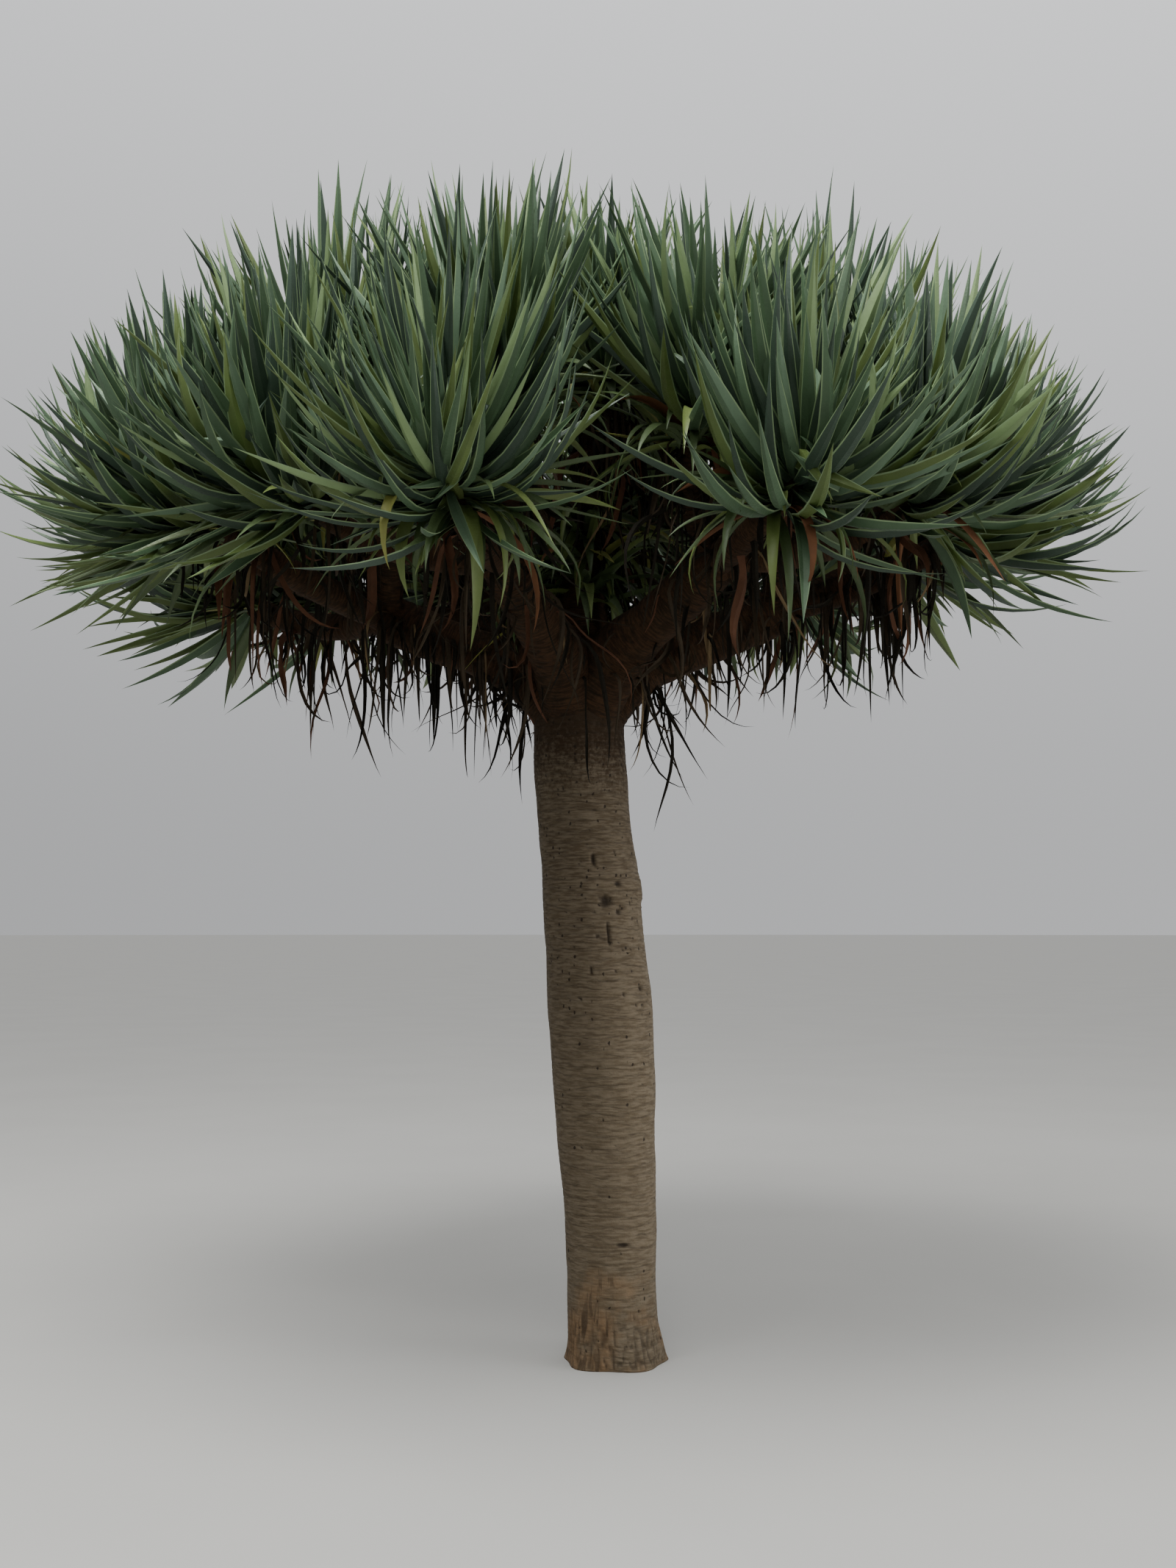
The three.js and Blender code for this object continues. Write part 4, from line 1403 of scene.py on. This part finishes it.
class DRAGON_OT_boughs(bpy.types.Operator):
    """Grow each bough with its limbs as one piece, up into the hearts of their rosettes"""

    bl_idname = "dragon.boughs"
    bl_label = "Boughs and limbs"

    def execute(self, context):
        sizes = context.scene.dragon_boughs
        boughs, rosettes = plan_tree()
        material = bough_material(sizes)
        for bough in boughs:
            carried = carried_by(bough, rosettes)
            piece = build_bough(bough, carried, sizes)
            nodes = [f"bough_{bough.name}"] + [f"limb_{rosette.name}" for rosette in carried]
            finish_piece(piece, f"limbs_{bough.name}", nodes, [material])
        return {"FINISHED"}


class DRAGON_OT_leaves(bpy.types.Operator):
    """Grow the living leaves of every rosette, joined into one piece for each bough"""

    bl_idname = "dragon.leaves"
    bl_label = "Living leaves"

    def execute(self, context):
        leaf = context.scene.dragon_leaves
        boughs, rosettes = plan_tree()
        hearts = np.array([rosette.heart for rosette in rosettes])
        random = np.random.default_rng(LEAF_SEED)
        tints = leaf_materials(leaf, LIVING_SKINS)
        # The margin strips take the last material, the pale margin that is also a painted highlight on the
        # edges.
        margin = len(tints) - 1
        strips = [margin, OWN_TINT, OWN_TINT, margin, margin, OWN_TINT, OWN_TINT, margin]
        section = leaf_section(leaf.margin)
        grown = {rosette.name: plan_living(rosette, hearts, leaf, random) for rosette in rosettes}
        for bough in boughs:
            carried = carried_by(bough, rosettes)
            blades = join_blades([grown[rosette.name] for rosette in carried])
            piece = blade_mesh(blades, LEAF_OUTLINE, section, strips, leaf.thickness, leaf.channel)
            nodes = [f"foliage_{rosette.name}" for rosette in carried]
            finish_piece(piece, f"leaves_{bough.name}", nodes, tints)
        return {"FINISHED"}


class DRAGON_OT_old_leaves(bpy.types.Operator):
    """Add the yellowing leaves that arch down round the foot of each rosette and the middle bough"""

    bl_idname = "dragon.old_leaves"
    bl_label = "Yellowing leaves"

    def execute(self, context):
        old = context.scene.dragon_old
        leaf = context.scene.dragon_leaves
        boughs, rosettes = plan_tree()
        random = np.random.default_rng(LEAF_SEED + 1)
        tints = leaf_materials(old, OLD_SKINS)
        middle = boughs[-1]
        hearts = [lerp(middle.tip, FORK, down) + COLLARS["higher"] * UP for down in COLLARS["down"]]
        collars = [Rosette("collar", "outer", heart, UP, middle.tip, middle, 0) for heart in hearts]
        blades = join_blades([plan_old(rosette, old, random) for rosette in [*rosettes, *collars]])
        section = leaf_section(OLD_BLADE["margin"])
        thickness = leaf.thickness * OLD_BLADE["thickness"]
        strips = [OWN_TINT] * len(section)
        piece = blade_mesh(blades, OLD_OUTLINE, section, strips, thickness, OLD_BLADE["channel"])
        finish_piece(piece, "leaves_yellowing", [], tints)
        return {"FINISHED"}


class DRAGON_OT_dead_leaves(bpy.types.Operator):
    """Hang the dead leaves under the rosettes, along the boughs and round the fork"""

    bl_idname = "dragon.dead_leaves"
    bl_label = "Dead leaves"

    def execute(self, context):
        dead = context.scene.dragon_dead
        boughs, rosettes = plan_tree()
        random = np.random.default_rng(LEAF_SEED + 2)
        tints = leaf_materials(dead, DEAD_SKINS)
        parts = [plan_dead_under(rosette, dead, random) for rosette in rosettes]
        for bough in boughs:
            path = (FORK, bough.elbow, bough.tip)
            count = DEAD_ON_BOUGHS[bough.name]
            parts.append(plan_dead_along(path, count, DEAD_AWAY["bough"], dead, random))
            parts.append(plan_dead_knuckle(bough, dead, random))
        for rosette in rosettes:
            path = (rosette.bough.tip, limb_elbow(rosette), rosette.foot)
            count = DEAD_ON_LIMBS.get(rosette.name, dead.limb)
            reach = DEAD_ON_LIMBS_REACH if rosette.name in DEAD_ON_LIMBS else 0
            parts.append(plan_dead_along(path, count, DEAD_AWAY["limb"], dead, random, reach))
        parts.append(plan_dead_fork(dead, random))
        strips = [OWN_TINT] * len(DEAD_SECTION)
        piece = blade_mesh(join_blades(parts), DEAD_OUTLINE, DEAD_SECTION, strips, **DEAD_BLADE)
        finish_piece(piece, "leaves_dead", [], tints)
        return {"FINISHED"}


class DRAGON_OT_stage(bpy.types.Operator):
    """Set a pale floor, soft light and the camera"""

    bl_idname = "dragon.stage"
    bl_label = "Stage"

    def execute(self, context):
        stage = context.scene.dragon_stage
        deselect()
        bpy.ops.mesh.primitive_circle_add(vertices=96, radius=300, fill_type="NGON", location=(0, 0, 0))
        floor = context.object
        floor.name = "floor"
        material, tree, shader = new_material("floor_pale", 0.9)
        mottle = add_group(tree, "mottle", object_place(tree), scale=0.8)
        lighter = [c * 1.03 for c in stage.floor]
        tree.links.new(add_mix(tree, mottle["Broad"], stage.floor, lighter), shader["Base Color"])
        floor.data.materials.append(material)

        world = bpy.data.worlds.new("plain_surroundings")
        context.scene.world = world
        world.use_nodes = True
        tree = world.node_tree
        background = tree.nodes["Background"].inputs
        background["Color"].default_value = (*stage.sky, 1)
        sides = add_split(tree, tree.nodes.new("ShaderNodeTexCoord").outputs["Generated"])
        light = add_range(tree, sides["Z"], 0.0, 1.0, stage.low_light, stage.high_light)
        sideways = add_range(tree, sides["X"], -1.0, 1.0, stage.left_light, 1.0)
        tree.links.new(add_math(tree, "MULTIPLY", light, sideways), background["Strength"])

        crown = (CROWN_AXIS[0], 0, 2.6)
        add_light("AREA", "key_light", (-1.8, -4.0, 9.5), crown, stage.key_power, size=5.0)
        add_light("AREA", "side_light", (10.0, -4.6, 3.0), crown, stage.side_power, size=4.0)
        spot = {"shadow_soft_size": 0.5, "spot_size": math.radians(24), "spot_blend": 1}
        add_light("SPOT", "trunk_light", (6.4, -1.1, 1.1), (0, 0, 1.0), stage.trunk_power, **spot)

        bpy.ops.object.camera_add(location=stage.eye, rotation=(math.pi / 2 + stage.pitch, 0, 0))
        camera = context.object
        camera.name = "camera"
        camera.data.lens = stage.lens
        camera.data.sensor_width = 36
        context.scene.camera = camera
        return {"FINISHED"}


class DRAGON_PT_panel(bpy.types.Panel):
    """Lists what the tree is built of, in order"""

    bl_label = "Dragon Tree"
    bl_idname = "DRAGON_PT_panel"
    bl_space_type = "VIEW_3D"
    bl_region_type = "UI"
    bl_category = "Dragon Tree"

    def draw(self, context):
        for operator in OPERATORS:
            self.layout.operator(operator.bl_idname)
        for name in SETTINGS:
            group = getattr(context.scene, name)
            box = self.layout.box()
            for key in group.bl_rna.properties.keys():
                if key not in ("name", "rna_type"):
                    box.prop(group, key)


OPERATORS = [
    DRAGON_OT_trunk,
    DRAGON_OT_boughs,
    DRAGON_OT_leaves,
    DRAGON_OT_old_leaves,
    DRAGON_OT_dead_leaves,
    DRAGON_OT_stage,
]
SETTINGS = {
    "dragon_trunk": TrunkSettings,
    "dragon_boughs": BoughSettings,
    "dragon_leaves": LeafSettings,
    "dragon_old": OldLeafSettings,
    "dragon_dead": DeadLeafSettings,
    "dragon_stage": StageSettings,
}


def register():
    for name, settings in SETTINGS.items():
        bpy.utils.register_class(settings)
        setattr(bpy.types.Scene, name, bpy.props.PointerProperty(type=settings))
    for operator in OPERATORS:
        bpy.utils.register_class(operator)
    bpy.utils.register_class(DRAGON_PT_panel)


def unregister():
    bpy.utils.unregister_class(DRAGON_PT_panel)
    for operator in reversed(OPERATORS):
        bpy.utils.unregister_class(operator)
    for name, settings in reversed(SETTINGS.items()):
        delattr(bpy.types.Scene, name)
        bpy.utils.unregister_class(settings)


def main():
    register()
    bpy.ops.dragon.trunk()
    bpy.ops.dragon.boughs()
    bpy.ops.dragon.leaves()
    bpy.ops.dragon.old_leaves()
    bpy.ops.dragon.dead_leaves()
    bpy.ops.dragon.stage()


if __name__ == "__main__":
    main()
